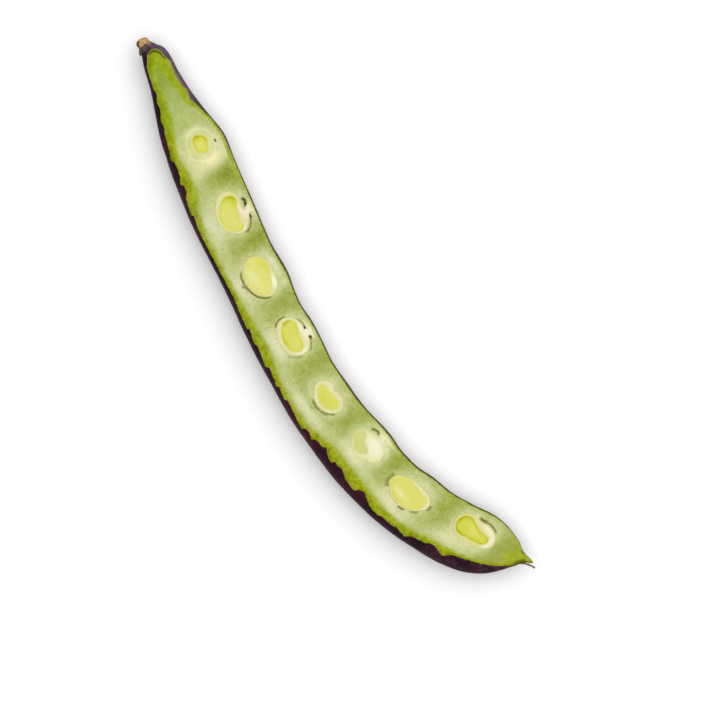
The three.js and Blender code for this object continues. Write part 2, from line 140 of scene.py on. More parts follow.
# Each outline is a middle and the points round it. The tones say how pale the cut kernel and coat are,
# from 0, deep, to 1, pale, and their patches are soft ovals that raise or lower them, each x, y, reach
# along, reach across and strength. soft is how far the kernel's edge melts into the coat, and merge and
# fade are how much and how far in the coat takes on the flesh's colour. depth is how deep a seed lies
# below the cut, rise how far its cut face stands out of the flesh, and dome how far its kernel swells, or
# sinks where it is negative.
# ring deepens a line just inside the kernel's edge, halo changes the flesh just outside the coat, and
# dull turns the kernel greyer.
SEEDS = [
    {
        "coat": ((26.9, -3.6), [
            (23.75, -3.3), (24.2, -2.0), (25.2, -1.1), (26.4, -0.7), (27.9, -1.15), (29.3, -2.0),
            (30.3, -3.2), (30.1, -4.5), (29.3, -5.5), (28.5, -6.3), (27.2, -6.15), (25.8, -5.7),
            (24.4, -4.8),
        ]),
        "kernel": ((26.7, -3.3), [
            (24.3, -3.5), (24.75, -2.6), (25.5, -1.7), (26.4, -1.4), (27.3, -1.7), (28.2, -2.3),
            (29.1, -3.05), (29.25, -3.6), (28.85, -4.2), (28.2, -4.9), (27.4, -5.3), (26.3, -5.1),
            (25.3, -4.9), (24.65, -4.3),
        ]),
        "kernel_tone": 0.5,
        "kernel_patches": [
            (24.9, -3.3, 0.8, 1.2, -0.35), (26.3, -1.8, 1.2, 0.4, -0.3), (26.8, -3.5, 1.2, 0.8, 0.15),
        ],
        "coat_tone": 0.1,
        "coat_patches": [(28.8, -1.2, 1.5, 0.8, 0.5), (30.0, -4.8, 0.8, 1.5, 0.4)],
        "depth": 1.9, "rise": 0.03, "dome": 0.05, "soft": 0.20, "ring": 0.15, "halo": 0.16, "fade": 0.3,
    },
    {
        "coat": ((43.8, -7.3), [
            (38.5, -6.8), (38.85, -5.4), (39.8, -4.2), (41.2, -3.65), (42.6, -3.9), (43.7, -4.35),
            (45.3, -4.5), (46.8, -4.6), (47.9, -5.3), (48.6, -6.4), (48.85, -7.5), (48.4, -8.9),
            (47.4, -10.0), (46.0, -10.8), (44.4, -11.1), (42.9, -10.8), (41.4, -10.15), (39.9, -9.0),
            (38.9, -8.0),
        ]),
        "kernel": ((43.3, -7.7), [
            (39.75, -6.6), (39.85, -5.7), (40.4, -4.8), (41.3, -4.3), (42.2, -4.4), (42.9, -4.95),
            (43.7, -5.4), (44.7, -5.8), (45.6, -6.4), (46.5, -6.6), (47.4, -6.35), (48.0, -6.7),
            (48.35, -7.5), (48.0, -8.7), (47.1, -9.6), (45.9, -10.2), (44.6, -10.45), (43.4, -10.3),
            (42.2, -9.6), (41.0, -8.65), (40.15, -7.5),
        ]),
        "kernel_tone": 0.62,
        "kernel_patches": [
            (41.0, -5.0, 1.5, 1.0, -0.5), (40.2, -7.0, 0.6, 1.5, -0.3), (45.0, -8.5, 2.5, 1.2, 0.12),
        ],
        "coat_tone": 0.25,
        "coat_patches": [(45.0, -4.7, 2.0, 0.8, 0.6), (48.3, -7.0, 0.7, 2.5, 0.5)],
        "depth": 3.0, "rise": 0.1, "dome": 0.05, "soft": 0.16, "ring": 0.15, "fade": 0.3,
    },
    {
        "coat": ((59.3, -10.6), [
            (54.2, -10.2), (54.5, -9.0), (55.3, -7.95), (56.5, -7.3), (57.9, -7.0), (59.3, -7.05),
            (60.8, -7.35), (62.2, -7.9), (63.5, -8.75), (64.3, -9.8), (64.5, -10.6), (64.2, -11.7),
            (63.4, -12.8), (62.4, -13.6), (61.0, -14.1), (59.6, -14.25), (58.1, -14.1), (56.7, -13.6),
            (55.6, -12.8), (54.6, -11.6),
        ]),
        "kernel": ((58.9, -10.8), [
            (54.4, -10.2), (54.7, -9.1), (55.5, -8.1), (56.7, -7.55), (57.8, -7.35), (58.8, -7.5),
            (59.8, -7.9), (61.0, -8.55), (62.2, -9.2), (63.1, -10.1), (63.6, -11.0), (63.55, -11.9),
            (63.0, -12.8), (62.2, -13.35), (61.0, -13.8), (59.6, -13.95), (58.2, -13.8), (56.9, -13.35),
            (55.8, -12.6), (54.85, -11.5),
        ]),
        "kernel_tone": 0.7,
        "kernel_patches": [(57.5, -8.3, 2.5, 0.8, -0.2), (59.0, -12.0, 3.0, 1.2, 0.3)],
        "coat_tone": 0.2,
        "coat_patches": [(62.0, -8.6, 2.2, 1.0, 0.8)],
        "depth": 3.0, "rise": 0.2, "dome": 0.3, "soft": 0.12,
    },
    {
        "coat": ((74.8, -12.7), [
            (69.95, -12.6), (70.2, -11.4), (71.0, -10.3), (72.3, -9.6), (73.7, -9.35), (75.0, -9.6),
            (76.5, -9.7), (77.8, -10.1), (79.0, -11.1), (79.5, -12.1), (79.5, -13.1), (79.1, -14.2),
            (78.4, -15.2), (77.3, -15.85), (76.1, -16.1), (74.7, -16.15), (73.2, -15.85), (71.8, -15.2),
            (70.6, -14.1),
        ]),
        "kernel": ((74.6, -12.9), [
            (70.75, -12.2), (71.0, -11.2), (71.6, -10.5), (72.5, -10.15), (73.6, -10.3), (74.7, -10.75),
            (75.8, -11.3), (76.9, -11.45), (77.8, -11.75), (78.45, -12.4), (78.6, -13.2), (78.3, -14.1),
            (77.6, -14.8), (76.4, -15.25), (75.0, -15.3), (73.6, -14.95), (72.4, -14.4), (71.4, -13.5),
        ]),
        "kernel_tone": 0.52,
        "kernel_patches": [
            (71.1, -12.3, 0.6, 1.5, -0.35), (73.5, -15.0, 2.5, 0.6, -0.3), (76.0, -13.0, 2.0, 1.0, 0.12),
        ],
        "coat_tone": 0.35,
        "coat_patches": [(75.5, -9.8, 3.0, 0.8, 0.6), (79.0, -12.5, 0.8, 2.0, 0.5)],
        "depth": 2.9, "rise": 0.12, "dome": 0.08, "soft": 0.16, "ring": 0.15,
    },
    {
        "coat": ((90.7, -14.6), [
            (86.3, -14.2), (86.6, -13.3), (87.3, -12.5), (88.2, -11.95), (89.0, -11.65), (89.7, -11.95),
            (90.4, -12.25), (91.2, -12.0), (92.2, -11.9), (93.3, -12.1), (94.2, -12.6), (94.9, -13.4),
            (95.05, -14.3), (94.7, -15.4), (93.9, -16.5), (92.7, -17.25), (91.4, -17.6), (90.2, -17.6),
            (89.0, -17.3), (87.9, -16.5), (86.9, -15.6),
        ]),
        "kernel": ((90.6, -14.8), [
            (87.1, -14.3), (87.5, -13.4), (88.5, -12.95), (89.4, -13.15), (90.3, -13.15), (91.3, -12.85),
            (92.4, -12.75), (93.4, -12.95), (94.2, -13.6), (94.35, -14.5), (93.8, -15.6), (92.9, -16.4),
            (91.7, -16.85), (90.4, -16.85), (89.2, -16.5), (88.2, -15.8), (87.4, -15.1),
        ]),
        "kernel_tone": 0.55,
        "kernel_patches": [(90.0, -13.2, 3.0, 0.5, 0.15), (90.5, -15.5, 2.5, 0.8, -0.1)],
        "coat_tone": 0.4,
        "coat_patches": [(90.0, -11.9, 3.0, 0.8, 0.1)],
        "depth": 2.8, "rise": 0.18, "dome": 0.18, "soft": 0.30, "fade": 0.25,
    },
    {
        "coat": ((105.0, -13.9), [
            (100.3, -14.2), (100.6, -12.9), (101.4, -11.8), (102.9, -10.95), (104.3, -10.55),
            (105.6, -10.35), (107.0, -10.7), (108.4, -11.4), (109.5, -12.6), (109.8, -13.9),
            (109.2, -15.2), (107.8, -16.3), (106.3, -17.1), (104.5, -17.4), (102.7, -16.8), (101.2, -15.6),
        ]),
        "kernel": ((103.2, -14.6), [
            (100.65, -14.2), (100.75, -13.2), (101.3, -12.5), (102.2, -12.05), (103.1, -12.4),
            (103.6, -13.3), (104.5, -13.75), (105.6, -13.95), (106.3, -14.4), (106.6, -15.1),
            (105.9, -16.0), (105.0, -16.7), (103.9, -16.75), (102.8, -16.3), (102.0, -15.7),
            (101.1, -15.0),
        ]),
        "kernel_tone": 0.7,
        "kernel_patches": [(103.5, -15.5, 1.2, 1.0, -0.1), (102.0, -13.0, 1.0, 0.8, 0.1)],
        "coat_tone": 0.45,
        "coat_patches": [(106.5, -12.0, 3.0, 3.0, 0.45)],
        "depth": 2.6, "rise": 0.04, "dome": 0.0, "soft": 0.24, "dull": 0.4, "ring": 0.15,
        "merge": 0.9, "fade": 0.75,
    },
    {
        "coat": ((119.4, -12.9), [
            (114.1, -13.8), (114.2, -12.6), (115.0, -11.5), (116.2, -10.6), (117.6, -9.95), (119.1, -9.7),
            (120.6, -9.5), (122.0, -9.25), (123.3, -9.4), (124.3, -10.2), (124.75, -11.2),
            (124.6, -12.3), (123.8, -13.7), (122.8, -14.85), (121.5, -15.7), (120.1, -16.25),
            (118.6, -16.4), (117.1, -16.25), (115.6, -15.6), (114.5, -14.8),
        ]),
        "kernel": ((119.2, -13.0), [
            (114.4, -13.6), (114.55, -12.5), (115.4, -11.4), (116.5, -10.75), (117.7, -10.4),
            (119.2, -10.2), (120.9, -10.05), (122.3, -10.05), (123.4, -10.6), (124.0, -11.6),
            (124.0, -12.6), (123.2, -13.9), (122.1, -14.95), (120.4, -15.85), (118.8, -16.1),
            (117.2, -15.85), (115.8, -15.25), (114.8, -14.5),
        ]),
        "kernel_tone": 0.64,
        "kernel_patches": [
            (118.0, -14.2, 2.5, 0.7, 0.35), (115.0, -14.5, 0.6, 1.2, -0.25),
            (117.0, -15.8, 2.0, 0.4, -0.25),
        ],
        "coat_tone": 0.15,
        "coat_patches": [(120.0, -9.9, 3.0, 0.6, 0.5), (124.0, -11.5, 1.0, 1.5, 0.5)],
        "depth": 3.0, "rise": 0.2, "dome": 0.28, "soft": 0.12,
    },
    {
        "coat": ((135.5, -6.0), [
            (130.25, -6.8), (130.5, -5.4), (131.4, -4.2), (132.6, -3.45), (133.6, -3.15), (134.5, -3.2),
            (135.2, -3.0), (135.9, -2.5), (136.9, -2.2), (138.1, -2.2), (139.2, -2.6), (140.1, -3.5),
            (140.6, -4.6), (140.2, -5.8), (139.6, -6.8), (138.8, -7.6), (137.5, -8.3), (136.2, -8.9),
            (134.7, -9.5), (133.2, -9.65), (131.8, -9.25), (130.8, -8.3),
        ]),
        "kernel": ((134.9, -6.4), [
            (130.75, -6.4), (131.0, -5.4), (131.75, -4.6), (132.7, -4.1), (133.7, -4.3), (134.9, -4.5),
            (136.1, -4.5), (137.3, -4.3), (138.4, -4.05), (139.0, -4.4), (139.25, -5.2), (139.0, -6.0),
            (138.4, -6.7), (137.5, -7.15), (136.5, -7.75), (135.2, -8.2), (134.0, -8.9), (132.9, -9.15),
            (131.8, -8.75), (131.0, -7.8),
        ]),
        "kernel_tone": 0.38,
        "kernel_patches": [
            (131.0, -6.3, 0.6, 1.5, -0.3), (133.0, -8.8, 1.5, 0.5, -0.3), (135.0, -6.0, 2.0, 1.0, 0.2),
        ],
        "coat_tone": 0.15,
        "coat_patches": [(137.0, -3.0, 2.5, 0.8, 0.7), (139.5, -5.0, 0.8, 2.0, 0.6)],
        "depth": 2.7, "rise": 0.1, "dome": -0.1, "soft": 0.14, "ring": 0.25,
    },
]

# Small hollows in the flesh, darkened with painted shade: x, y, half length, half width, turn in degrees.
HOLLOWS = [
    (28.0, -0.27, 0.34, 0.24, -15),
    (42.8, -3.05, 0.66, 0.34, 24), (43.75, -3.32, 0.74, 0.36, -26), (46.55, -4.2, 0.56, 0.34, 8),
    (74.65, -9.3, 0.30, 0.28, -40), (77.15, -9.5, 0.40, 0.30, 0),
]
HOLLOW_DEPTH = 0.6

# Cracks where the flesh has come away, drawn as painted shade in their gaps: how dark, how wide, and the way
# each runs.
CRACKS = [
    (0.84, 0.30, [(46.6, -4.05), (47.3, -4.35), (48.05, -4.85), (48.75, -5.6), (49.2, -6.5), (49.25, -7.2)]),
    (0.92, 0.30, [(55.4, -13.05), (56.3, -13.85), (57.3, -14.3), (58.5, -14.5), (60.0, -14.5),
                  (61.4, -14.3), (62.8, -13.7), (63.7, -12.8), (64.4, -11.7), (64.65, -10.6)]),
    (0.72, 0.62, [(58.7, -14.3), (58.95, -14.8), (59.05, -15.4)]),
    (0.85, 0.30, [(70.2, -11.3), (69.82, -12.2), (69.77, -12.95), (70.1, -13.9), (70.8, -14.9)]),
    (0.60, 0.30, [(72.0, -9.5), (73.2, -9.05), (74.2, -9.05), (74.8, -9.4)]),
    (0.62, 0.30, [(77.1, -9.4), (78.3, -9.95), (79.25, -10.75), (79.8, -11.6)]),
    (0.42, 0.35, [(79.7, -13.3), (79.3, -14.7), (78.4, -15.75), (77.4, -16.3)]),
    (0.84, 0.35, [(88.6, -17.35), (89.6, -17.8), (90.8, -17.95), (92.2, -17.75), (93.4, -17.15),
                 (94.3, -16.25), (95.0, -15.1)]),
    (0.72, 0.50, [(92.2, -17.7), (93.2, -17.35), (94.1, -16.6)]),
    (0.96, 0.42, [(102.3, -10.85), (103.0, -10.3), (103.85, -9.95), (104.7, -10.35)]),
    (0.66, 0.70, [(113.95, -12.4), (113.85, -13.5), (113.9, -14.8), (114.6, -15.4), (115.3, -15.8)]),
    (0.90, 0.32, [(120.1, -16.45), (121.0, -16.2), (121.8, -15.85)]),
    (0.66, 0.30, [(122.8, -15.15), (123.6, -14.3), (124.2, -13.4)]),
    (0.78, 0.32, [(124.75, -10.2), (125.05, -11.0), (125.0, -11.8)]),
    (1.00, 0.45, [(133.6, -2.75), (134.4, -2.75), (135.0, -2.45), (135.6, -2.1)]),
    (0.90, 0.30, [(135.0, -2.45), (136.0, -1.95), (137.2, -1.8), (138.9, -1.95)]),
    (1.00, 0.50, [(147.75, -0.2), (147.35, -0.8), (147.0, -1.6), (146.75, -2.3), (146.65, -3.1)]),
    (0.84, 0.50, [(145.3, 0.5), (145.85, 0.3), (146.4, 0.4)]),
]

# Seed stalks laid open by the cut: where each leaves the coat and meets the wall, how wide it is at
# its root on the coat, at its neck and at its foot, where the foot begins, and how far its sides and
# its whole length take the colour of the flesh.
FUNICLES = {
    2: {"route": [(46.0, -5.4), (45.6, -4.6), (45.3, -3.9), (45.15, -3.2), (45.1, -2.5)], "root": 2.8,
        "neck": 1.35, "foot": 2.4, "flare": 0.4, "melt": 0.75, "pale": 0.1},
    4: {"route": [(75.8, -10.4), (75.9, -9.5), (76.05, -8.9), (76.2, -8.4)], "root": 2.4, "neck": 1.5,
        "foot": 4.2, "flare": 0.6, "melt": 0.3, "pale": 0.0},
    6: {"route": [(106.2, -11.0), (105.9, -10.3), (105.6, -9.8), (105.4, -9.3)], "root": 1.8, "neck": 1.3,
        "foot": 2.2, "flare": 0.5, "melt": 0.95, "pale": 0.4},
    8: {"route": [(133.3, -4.0), (133.1, -3.5), (132.9, -3.1), (132.7, -2.7)], "root": 1.3, "neck": 1.0,
        "foot": 1.2, "flare": 0.5, "melt": 1.0, "pale": 0.7},
}

# How pale the cut tissue is: 0 is deep green, 1 creamy white. flesh_tone() works it out from the seeds,
# the wall and the neck, and these soft oval marks raise or lower it, each x, y, reach along, reach
# across and strength.
FLESH_MARKS = [
    (31.5, -3.5, 1.8, 4.0, 0.6),      # white, right of seed 1
    (23.3, -3.5, 1.0, 2.5, 0.2),      # pale, left of it
    (28.5, 0.0, 2.5, 1.0, 0.3),       # and above it
    (27.0, -8.0, 5.0, 1.2, 0.15),     # pale below it
    (36.5, -2.5, 3.0, 1.8, -0.2),     # green before seed 2
    (44.5, -12.8, 3.5, 1.3, 0.2),     # whitish below seed 2
    (45.0, -2.8, 2.5, 0.6, 0.4),      # cream round its stalk
    (52.0, -6.0, 2.5, 2.5, -0.1),     # deep green before seed 3
    (58.5, -6.3, 3.5, 0.7, 0.3),      # white above seed 3
    (63.7, -6.8, 1.0, 0.8, 0.3),      # a white spot beside it
    (57.5, -16.0, 4.5, 1.2, 0.2),     # whitish below it
    (74.0, -17.3, 4.0, 1.2, 0.2),     # whitish below seed 4
    (75.5, -8.6, 2.0, 0.5, 0.4),      # cream round its stalk
    (90.0, -20.0, 5.0, 1.2, 0.25),    # whitish below seed 5
    # painted shade right under seed 5
    (90.5, -18.5, 2.0, 0.6, -0.25),   # the shade right under it
    (107.5, -12.0, 2.5, 3.0, 0.3),    # creamy right of seed 6
    (107.0, -9.2, 3.0, 0.5, 0.4),     # and above it, along the rim
    (104.5, -18.0, 5.0, 1.2, 0.15),   # pale below it
    (112.0, -10.5, 2.0, 2.0, -0.1),   # deep green before seed 7
    (119.0, -18.0, 6.0, 1.2, 0.25),   # whitish below seed 7
    (121.0, -8.2, 3.0, 0.8, 0.15),    # pale above it
    (132.5, -12.0, 4.0, 2.0, 0.25),   # whitish below seed 8
    (140.3, -5.0, 0.8, 1.8, 0.2),     # pale right of it
]

# Where the tissue is the vivid green of the wall, apart from the wall itself.
VIVID_PATCHES = [
    (4.0, 0.0, 3.8, 3.4, 1.30), (52.0, -6.5, 1.6, 2.6, 0.30), (36.2, -2.5, 1.8, 0.7, 0.25),
    (112.6, -9.7, 2.4, 1.0, 0.30), (126.2, -8.4, 1.9, 2.6, 0.35), (126.0, -5.7, 4.0, 0.7, 0.30),
    (145.6, -2.4, 2.2, 2.6, 0.90), (147.6, -0.3, 1.2, 1.0, 0.80), (144.9, 0.4, 1.4, 0.5, 0.60),
    (108.8, -8.8, 2.0, 0.35, 0.55),
]

# The dark green line round the stem end of the cut.
STEM_LINE = [(6.0, 1.8), (4.3, 1.5), (3.45, 1.0), (3.05, 0.2), (3.15, -0.6)]

# Where the white tissue is bluish rather than cream.
COOL_PATCHES = [
    (42.5, -12.5, 4.5, 1.8, 1.0), (58.7, -15.7, 4.0, 1.5, 0.8), (57.5, -6.4, 3.0, 0.8, 1.0),
    (73.0, -17.3, 5.0, 1.5, 0.9), (90.0, -20.0, 5.0, 1.5, 0.8), (106.0, -18.5, 3.0, 1.0, 0.3),
    (119.5, -17.6, 4.0, 1.2, 0.6), (64.5, -8.0, 1.2, 0.9, 0.8),
]

# Where it is a warmer cream.
CREAM_PATCHES = [(30.8, -4.0, 1.6, 2.2, 0.6), (27.2, -6.5, 2.0, 0.6, 0.6), (45.0, -2.9, 2.0, 0.8, 0.5)]

# Where seed coats and stalks are flushed with pink.
PINK_PATCHES = [
    (45.9, -5.6, 1.1, 0.6, 0.9), (43.6, -4.6, 1.0, 0.4, 0.5), (76.2, -10.0, 1.0, 0.6, 0.3),
    (124.0, -11.2, 0.5, 0.6, 0.6), (136.0, -3.1, 1.2, 0.5, 0.5), (105.0, -9.3, 1.2, 0.5, 0.4),
]

# ---- smooth functions ----------------------------------------------------------------------------


def along(table, column):
    """A smooth curve through a table's rows: one column as a function of distance."""
    rows = np.array(table)
    xs, ys = rows[:, 0], rows[:, column]
    before = np.maximum(np.arange(len(xs)) - 1, 0)
    after = np.minimum(np.arange(len(xs)) + 1, len(xs) - 1)
    slopes = (ys[after] - ys[before]) / (xs[after] - xs[before])

    def curve(x):
        i = np.clip(np.searchsorted(xs, x, side="right") - 1, 0, len(xs) - 2)
        span = xs[i + 1] - xs[i]
        t = np.clip((x - xs[i]) / span, 0, 1)
        return (ys[i] * (2 * t**3 - 3 * t**2 + 1) + slopes[i] * span * (t**3 - 2 * t**2 + t)
                + ys[i + 1] * (3 * t**2 - 2 * t**3) + slopes[i + 1] * span * (t**3 - t**2))

    return curve


def step(low, high, value):
    """0 up to low, 1 from high, smooth between; falls instead where high is below low."""
    t = np.clip((value - low) / (high - low), 0, 1)
    return t * t * (3 - 2 * t)


def ripple(x, y, size, seed):
    """Gentle unevenness from -1 to 1, with features about size across."""
    draw = np.random.default_rng(seed)
    total = np.zeros(np.broadcast(x, y).shape)
    waves = 14
    for _ in range(waves):
        direction, phase = draw.uniform(0, TAU, 2)
        length = size * draw.uniform(1.2, 3.0)
        total += np.sin((x * math.cos(direction) + y * math.sin(direction)) * TAU / length + phase)
    return total / math.sqrt(waves * 2)


outer_edge = along(OUTLINE, 1)
inner_edge = along(OUTLINE, 2)
half_depth = along(HALF_DEPTH, 1)
outer_skin = along(SKIN_SHOWING, 1)
inner_skin = along(SKIN_SHOWING, 2)
inner_wall = along(INNER_WALL, 1)
inner_rim = along(INNER_RIM, 1)


def middle(x):
    return (outer_edge(x) + inner_edge(x)) / 2


def half_width(x):
    return (inner_edge(x) - outer_edge(x)) / 2


def cut_height(x, y):
    """Height of the knife's cut: straight across from the skin on one side to the skin on the other."""
    x = np.maximum(x, CUT_START + 0.1)
    a, b = half_width(x), half_depth(x)
    outer, inner = 1 - outer_skin(x) / a, 1 - inner_skin(x) / a
    outer_z = AXIS_HEIGHT + b * np.sqrt(1 - outer**2)
    inner_z = AXIS_HEIGHT + b * np.sqrt(1 - inner**2)
    share = ((y - middle(x)) / a + outer) / (inner + outer)
    return outer_z + (inner_z - outer_z) * share


def straight_along(table):
    """The second column of a table as a function of its first, straight from row to row."""
    rows = np.array(table)
    return lambda x: np.interp(x, rows[:, 0], rows[:, 1])


torn_edge = straight_along(TORN_EDGE)
wall_border = straight_along(WALL_BORDER)
skin_edge_near_stem = straight_along(INNER_SKIN_EDGE)


def inner_skin_edge(x):
    """Where the inner side's skin ends: at its own edge near the stem, then at a thin line on the rim."""
    thin_line = inner_edge(x) - inner_rim(x)
    last = INNER_SKIN_EDGE[-1][0]
    past = step(last - 1.5, last + 1.0, x)
    return skin_edge_near_stem(x) * (1 - past) + thin_line * past


def loop(centre, points):
    """A smooth closed outline: its middle, and how far it lies from there as a function of angle."""
    dx, dy = (np.array(points, float) - centre).T
    angle, radius = np.arctan2(dy, dx), np.hypot(dx, dy)
    order = np.argsort(angle)
    angle, radius = angle[order], radius[order]
    angle = np.concatenate([angle[-3:] - TAU, angle, angle[:3] + TAU])
    radius = np.concatenate([radius[-3:], radius, radius[:3]])
    return centre, along(np.stack([angle, radius], -1), 1)


for seed in SEEDS:
    seed["coat"] = loop(*seed["coat"])
    seed["kernel"] = loop(*seed["kernel"])


def outline(shape, angle, grow=0.0, share=1.0):
    """Points on an outline, grown outwards, at a share of its radius."""
    (at_x, at_y), radius = shape
    reach = (radius((angle + math.pi) % TAU - math.pi) + grow) * share
    return at_x + reach * np.cos(angle), at_y + reach * np.sin(angle)


def beyond(shape, x, y):
    """How far points lie outside an outline, negative inside it."""
    (at_x, at_y), radius = shape
    dx, dy = x - at_x, y - at_y
    angle = np.arctan2(dy, dx)
    reach = radius(angle)
    slope = (radius(angle + 0.03) - radius(angle - 0.03)) / 0.06
    return (np.hypot(dx, dy) - reach) / np.hypot(1, slope / reach)


def from_line(route, x, y):
    """Distance from a line of straight runs, negative to its right, and how far along it the nearest
    place is, from 0 to 1."""
    best, place = np.full(np.shape(x), 1e9), np.zeros(np.shape(x))
    ends = np.array(route, float)
    runs = np.hypot(*np.diff(ends, axis=0).T)
    done = 0.0
    for (ax, ay), (bx, by), run in zip(ends[:-1], ends[1:], runs):
        t = np.clip(((x - ax) * (bx - ax) + (y - ay) * (by - ay)) / run**2, 0, 1)
        distance = np.hypot(x - ax - t * (bx - ax), y - ay - t * (by - ay))
        left = (bx - ax) * (y - ay) - (by - ay) * (x - ax) > 0
        nearer = distance < np.abs(best)
        best = np.where(nearer, np.where(left, distance, -distance), best)
        place = np.where(nearer, (done + t * run) / runs.sum(), place)
        done += run
    return best, place


def patches(table, x, y, level=0.0):
    """A level with soft oval patches added to it, each x, y, reach along, reach across and strength."""
    total = np.full(np.shape(x), level)
    for at_x, at_y, reach_x, reach_y, strength in table:
        total += strength * np.exp(-(((x - at_x) / reach_x) ** 2 + ((y - at_y) / reach_y) ** 2))
    return total


FLESH_LEVEL = 0.45            # where nothing below changes it
SEED_PALE = 0.22              # added at a seed coat
SEED_REACH = 1.3
BAND_OUTER = 0.06             # taken off halfway between two seeds, on the outer side
BAND_INNER = 0.16             # and this much more on the inner side
BAND_REACH = 3.2
STRIP_PALE = 0.12             # added in a strip beside the wall
STRIP_OFF = 1.8
STRIP_REACH = 1.4
NECK_GREEN = 0.32             # taken off in the neck
TIP_LEVEL = 0.22
WALL_LEVEL = 0.02             # at the wall's torn edge
WALL_RISE = 0.20              # from there up to its border
RIM_LEVEL = 0.20              # along the inner skin, near the stem
RIM_RISE = 0.12               # and this much more further on


def flesh_tone(x, y):
    """How pale the cut tissue is: pale round the seeds and beside the wall, green between the seeds, in
    the neck and at the tip, and the wall's own levels along both skins."""
    side = (y - middle(x)) / half_width(x)
    tone = patches(FLESH_MARKS, x, y, FLESH_LEVEL)
    for seed in SEEDS:
        tone += SEED_PALE * np.exp(-((np.maximum(beyond(seed["coat"], x, y), 0) / SEED_REACH) ** 2))
    for before, after in zip(SEEDS[:-1], SEEDS[1:]):
        between = (before["coat"][0][0] + after["coat"][0][0]) / 2
        band = np.exp(-(((x - between) / BAND_REACH) ** 2))
        tone -= (BAND_OUTER + BAND_INNER * step(-0.6, 0.4, side)) * band
    off_wall = y - wall_border(x)
    strip = np.exp(-(((off_wall - STRIP_OFF) / STRIP_REACH) ** 2))
    tone += STRIP_PALE * strip * step(22.0, 34.0, x) * step(142.0, 134.0, x)
    tone -= NECK_GREEN * step(20.0, 6.0, x)
    tip = step(138.5, 142.0, x)
    tone = tone * (1 - tip) + TIP_LEVEL * tip
    in_wall = step(0.7, -0.5, off_wall)
    up_wall = np.clip((y - torn_edge(x)) / np.maximum(wall_border(x) - torn_edge(x), 0.3), 0, 1)
    tone = tone * (1 - in_wall) + (WALL_LEVEL + WALL_RISE * up_wall) * in_wall
    along_rim = step(1.3, 0.6, (inner_skin_edge(x) - y) / inner_wall(x)) * step(146.0, 140.0, x)
    return tone * (1 - along_rim) + (RIM_LEVEL + RIM_RISE * step(30.0, 60.0, x)) * along_rim


# ---- meshes --------------------------------------------------------------------------------------

pod_low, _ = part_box("pod_half")
SHIFT = np.array([pod_low.x / MM - OUTLINE[0][0], pod_low.y / MM - min(row[1] for row in OUTLINE), 0.0])


def to_frame(points):
    return (np.asarray(points, float) + SHIFT) * MM


def in_scene(name, data):
    """A new object that holds the data, linked into the scene."""
    obj = bpy.data.objects.new(name, data)
    bpy.context.scene.collection.objects.link(obj)
    return obj


def piece(name, points, faces, materials, face_slots=None, fields=None):
    """A smooth-shaded mesh object from points in millimetres, with values stored on its points."""
    mesh = bpy.data.meshes.new(name)
    mesh.from_pydata(to_frame(points).tolist(), [], [list(map(int, f)) for f in faces])
    mesh.validate()
    mesh.shade_smooth()
    for material in materials:
        mesh.materials.append(material)
    if face_slots is not None:
        mesh.polygons.foreach_set("material_index", np.asarray(face_slots, np.int32))
    for field, values in (fields or {}).items():
        layer = mesh.attributes.new(field, "FLOAT", "POINT")
        layer.data.foreach_set("value", np.asarray(values, np.float32).ravel())
    mesh.update()
    return in_scene(name, mesh)


def grid_faces(rows, columns, closed=True):
    """Quads between neighbouring rows of a grid, wrapping round each row where it is closed."""
    r = np.arange(rows - 1)[:, None]
    c = np.arange(columns if closed else columns - 1)[None, :]
    n = (c + 1) % columns
    quads = np.stack([r * columns + c, r * columns + n, (r + 1) * columns + n, (r + 1) * columns + c], -1)
    return quads.reshape(-1, 4)


def ringed(rings):
    """Points and faces of a closed body through rings of equal length, with a fan over each end."""
    rings = [np.asarray(ring, float) for ring in rings]
    count = len(rings[0])
    points = np.concatenate(rings + [rings[0].mean(0)[None], rings[-1].mean(0)[None]])
    faces = grid_faces(len(rings), count).tolist()
    start, end = len(points) - 2, len(points) - 1
    last = (len(rings) - 1) * count
    for i in range(count):
        n = (i + 1) % count
        faces.append([start, n, i])
        faces.append([end, last + i, last + n])
    return points, faces


# ---- materials -----------------------------------------------------------------------------------


def new_material(name, **constants):
    """A material with one Principled shader, its unvarying values set on its own sockets."""
    material = bpy.data.materials.new(name)
    material.use_nodes = True
    shader = material.node_tree.nodes["Principled BSDF"]
    for socket, value in constants.items():
        shader.inputs[socket.replace("_", " ")].default_value = value
    return material, material.node_tree, shader


def add(tree, kind, inputs=None, **settings):
    made = tree.nodes.new(kind)
    for key, value in settings.items():
        setattr(made, key, value)
    for key, value in (inputs or {}).items():
        if isinstance(value, bpy.types.NodeSocket):
            tree.links.new(value, made.inputs[key])
        else:
            made.inputs[key].default_value = value
    return made


def field(tree, name):
    return add(tree, "ShaderNodeAttribute", attribute_name=name).outputs["Fac"]


def sums(tree, operation, a, b=0.0, c=0.0):
    return add(tree, "ShaderNodeMath", {0: a, 1: b, 2: c}, operation=operation).outputs[0]


def fit(tree, value, low, high, to_low=0.0, to_high=1.0):
    inputs = {"Value": value, "From Min": low, "From Max": high, "To Min": to_low, "To Max": to_high}
    made = add(tree, "ShaderNodeMapRange", inputs, interpolation_type="SMOOTHSTEP")
    return made.outputs["Result"]


def blend(tree, share, a, b, how="MIX"):
    made = add(tree, "ShaderNodeMix", data_type="RGBA", blend_type=how, clamp_factor=True)
    for key, value in (("Factor", share), ("A", a), ("B", b)):
        sockets = [s for s in made.inputs if s.name == key and (key == "Factor") == (s.type == "VALUE")
                   and (s.type in ("VALUE", "RGBA"))]
        if isinstance(value, bpy.types.NodeSocket):
            tree.links.new(value, sockets[0])
        else:
            sockets[0].default_value = value if key == "Factor" else (*value, 1.0)
    return next(s for s in made.outputs if s.type == "RGBA")


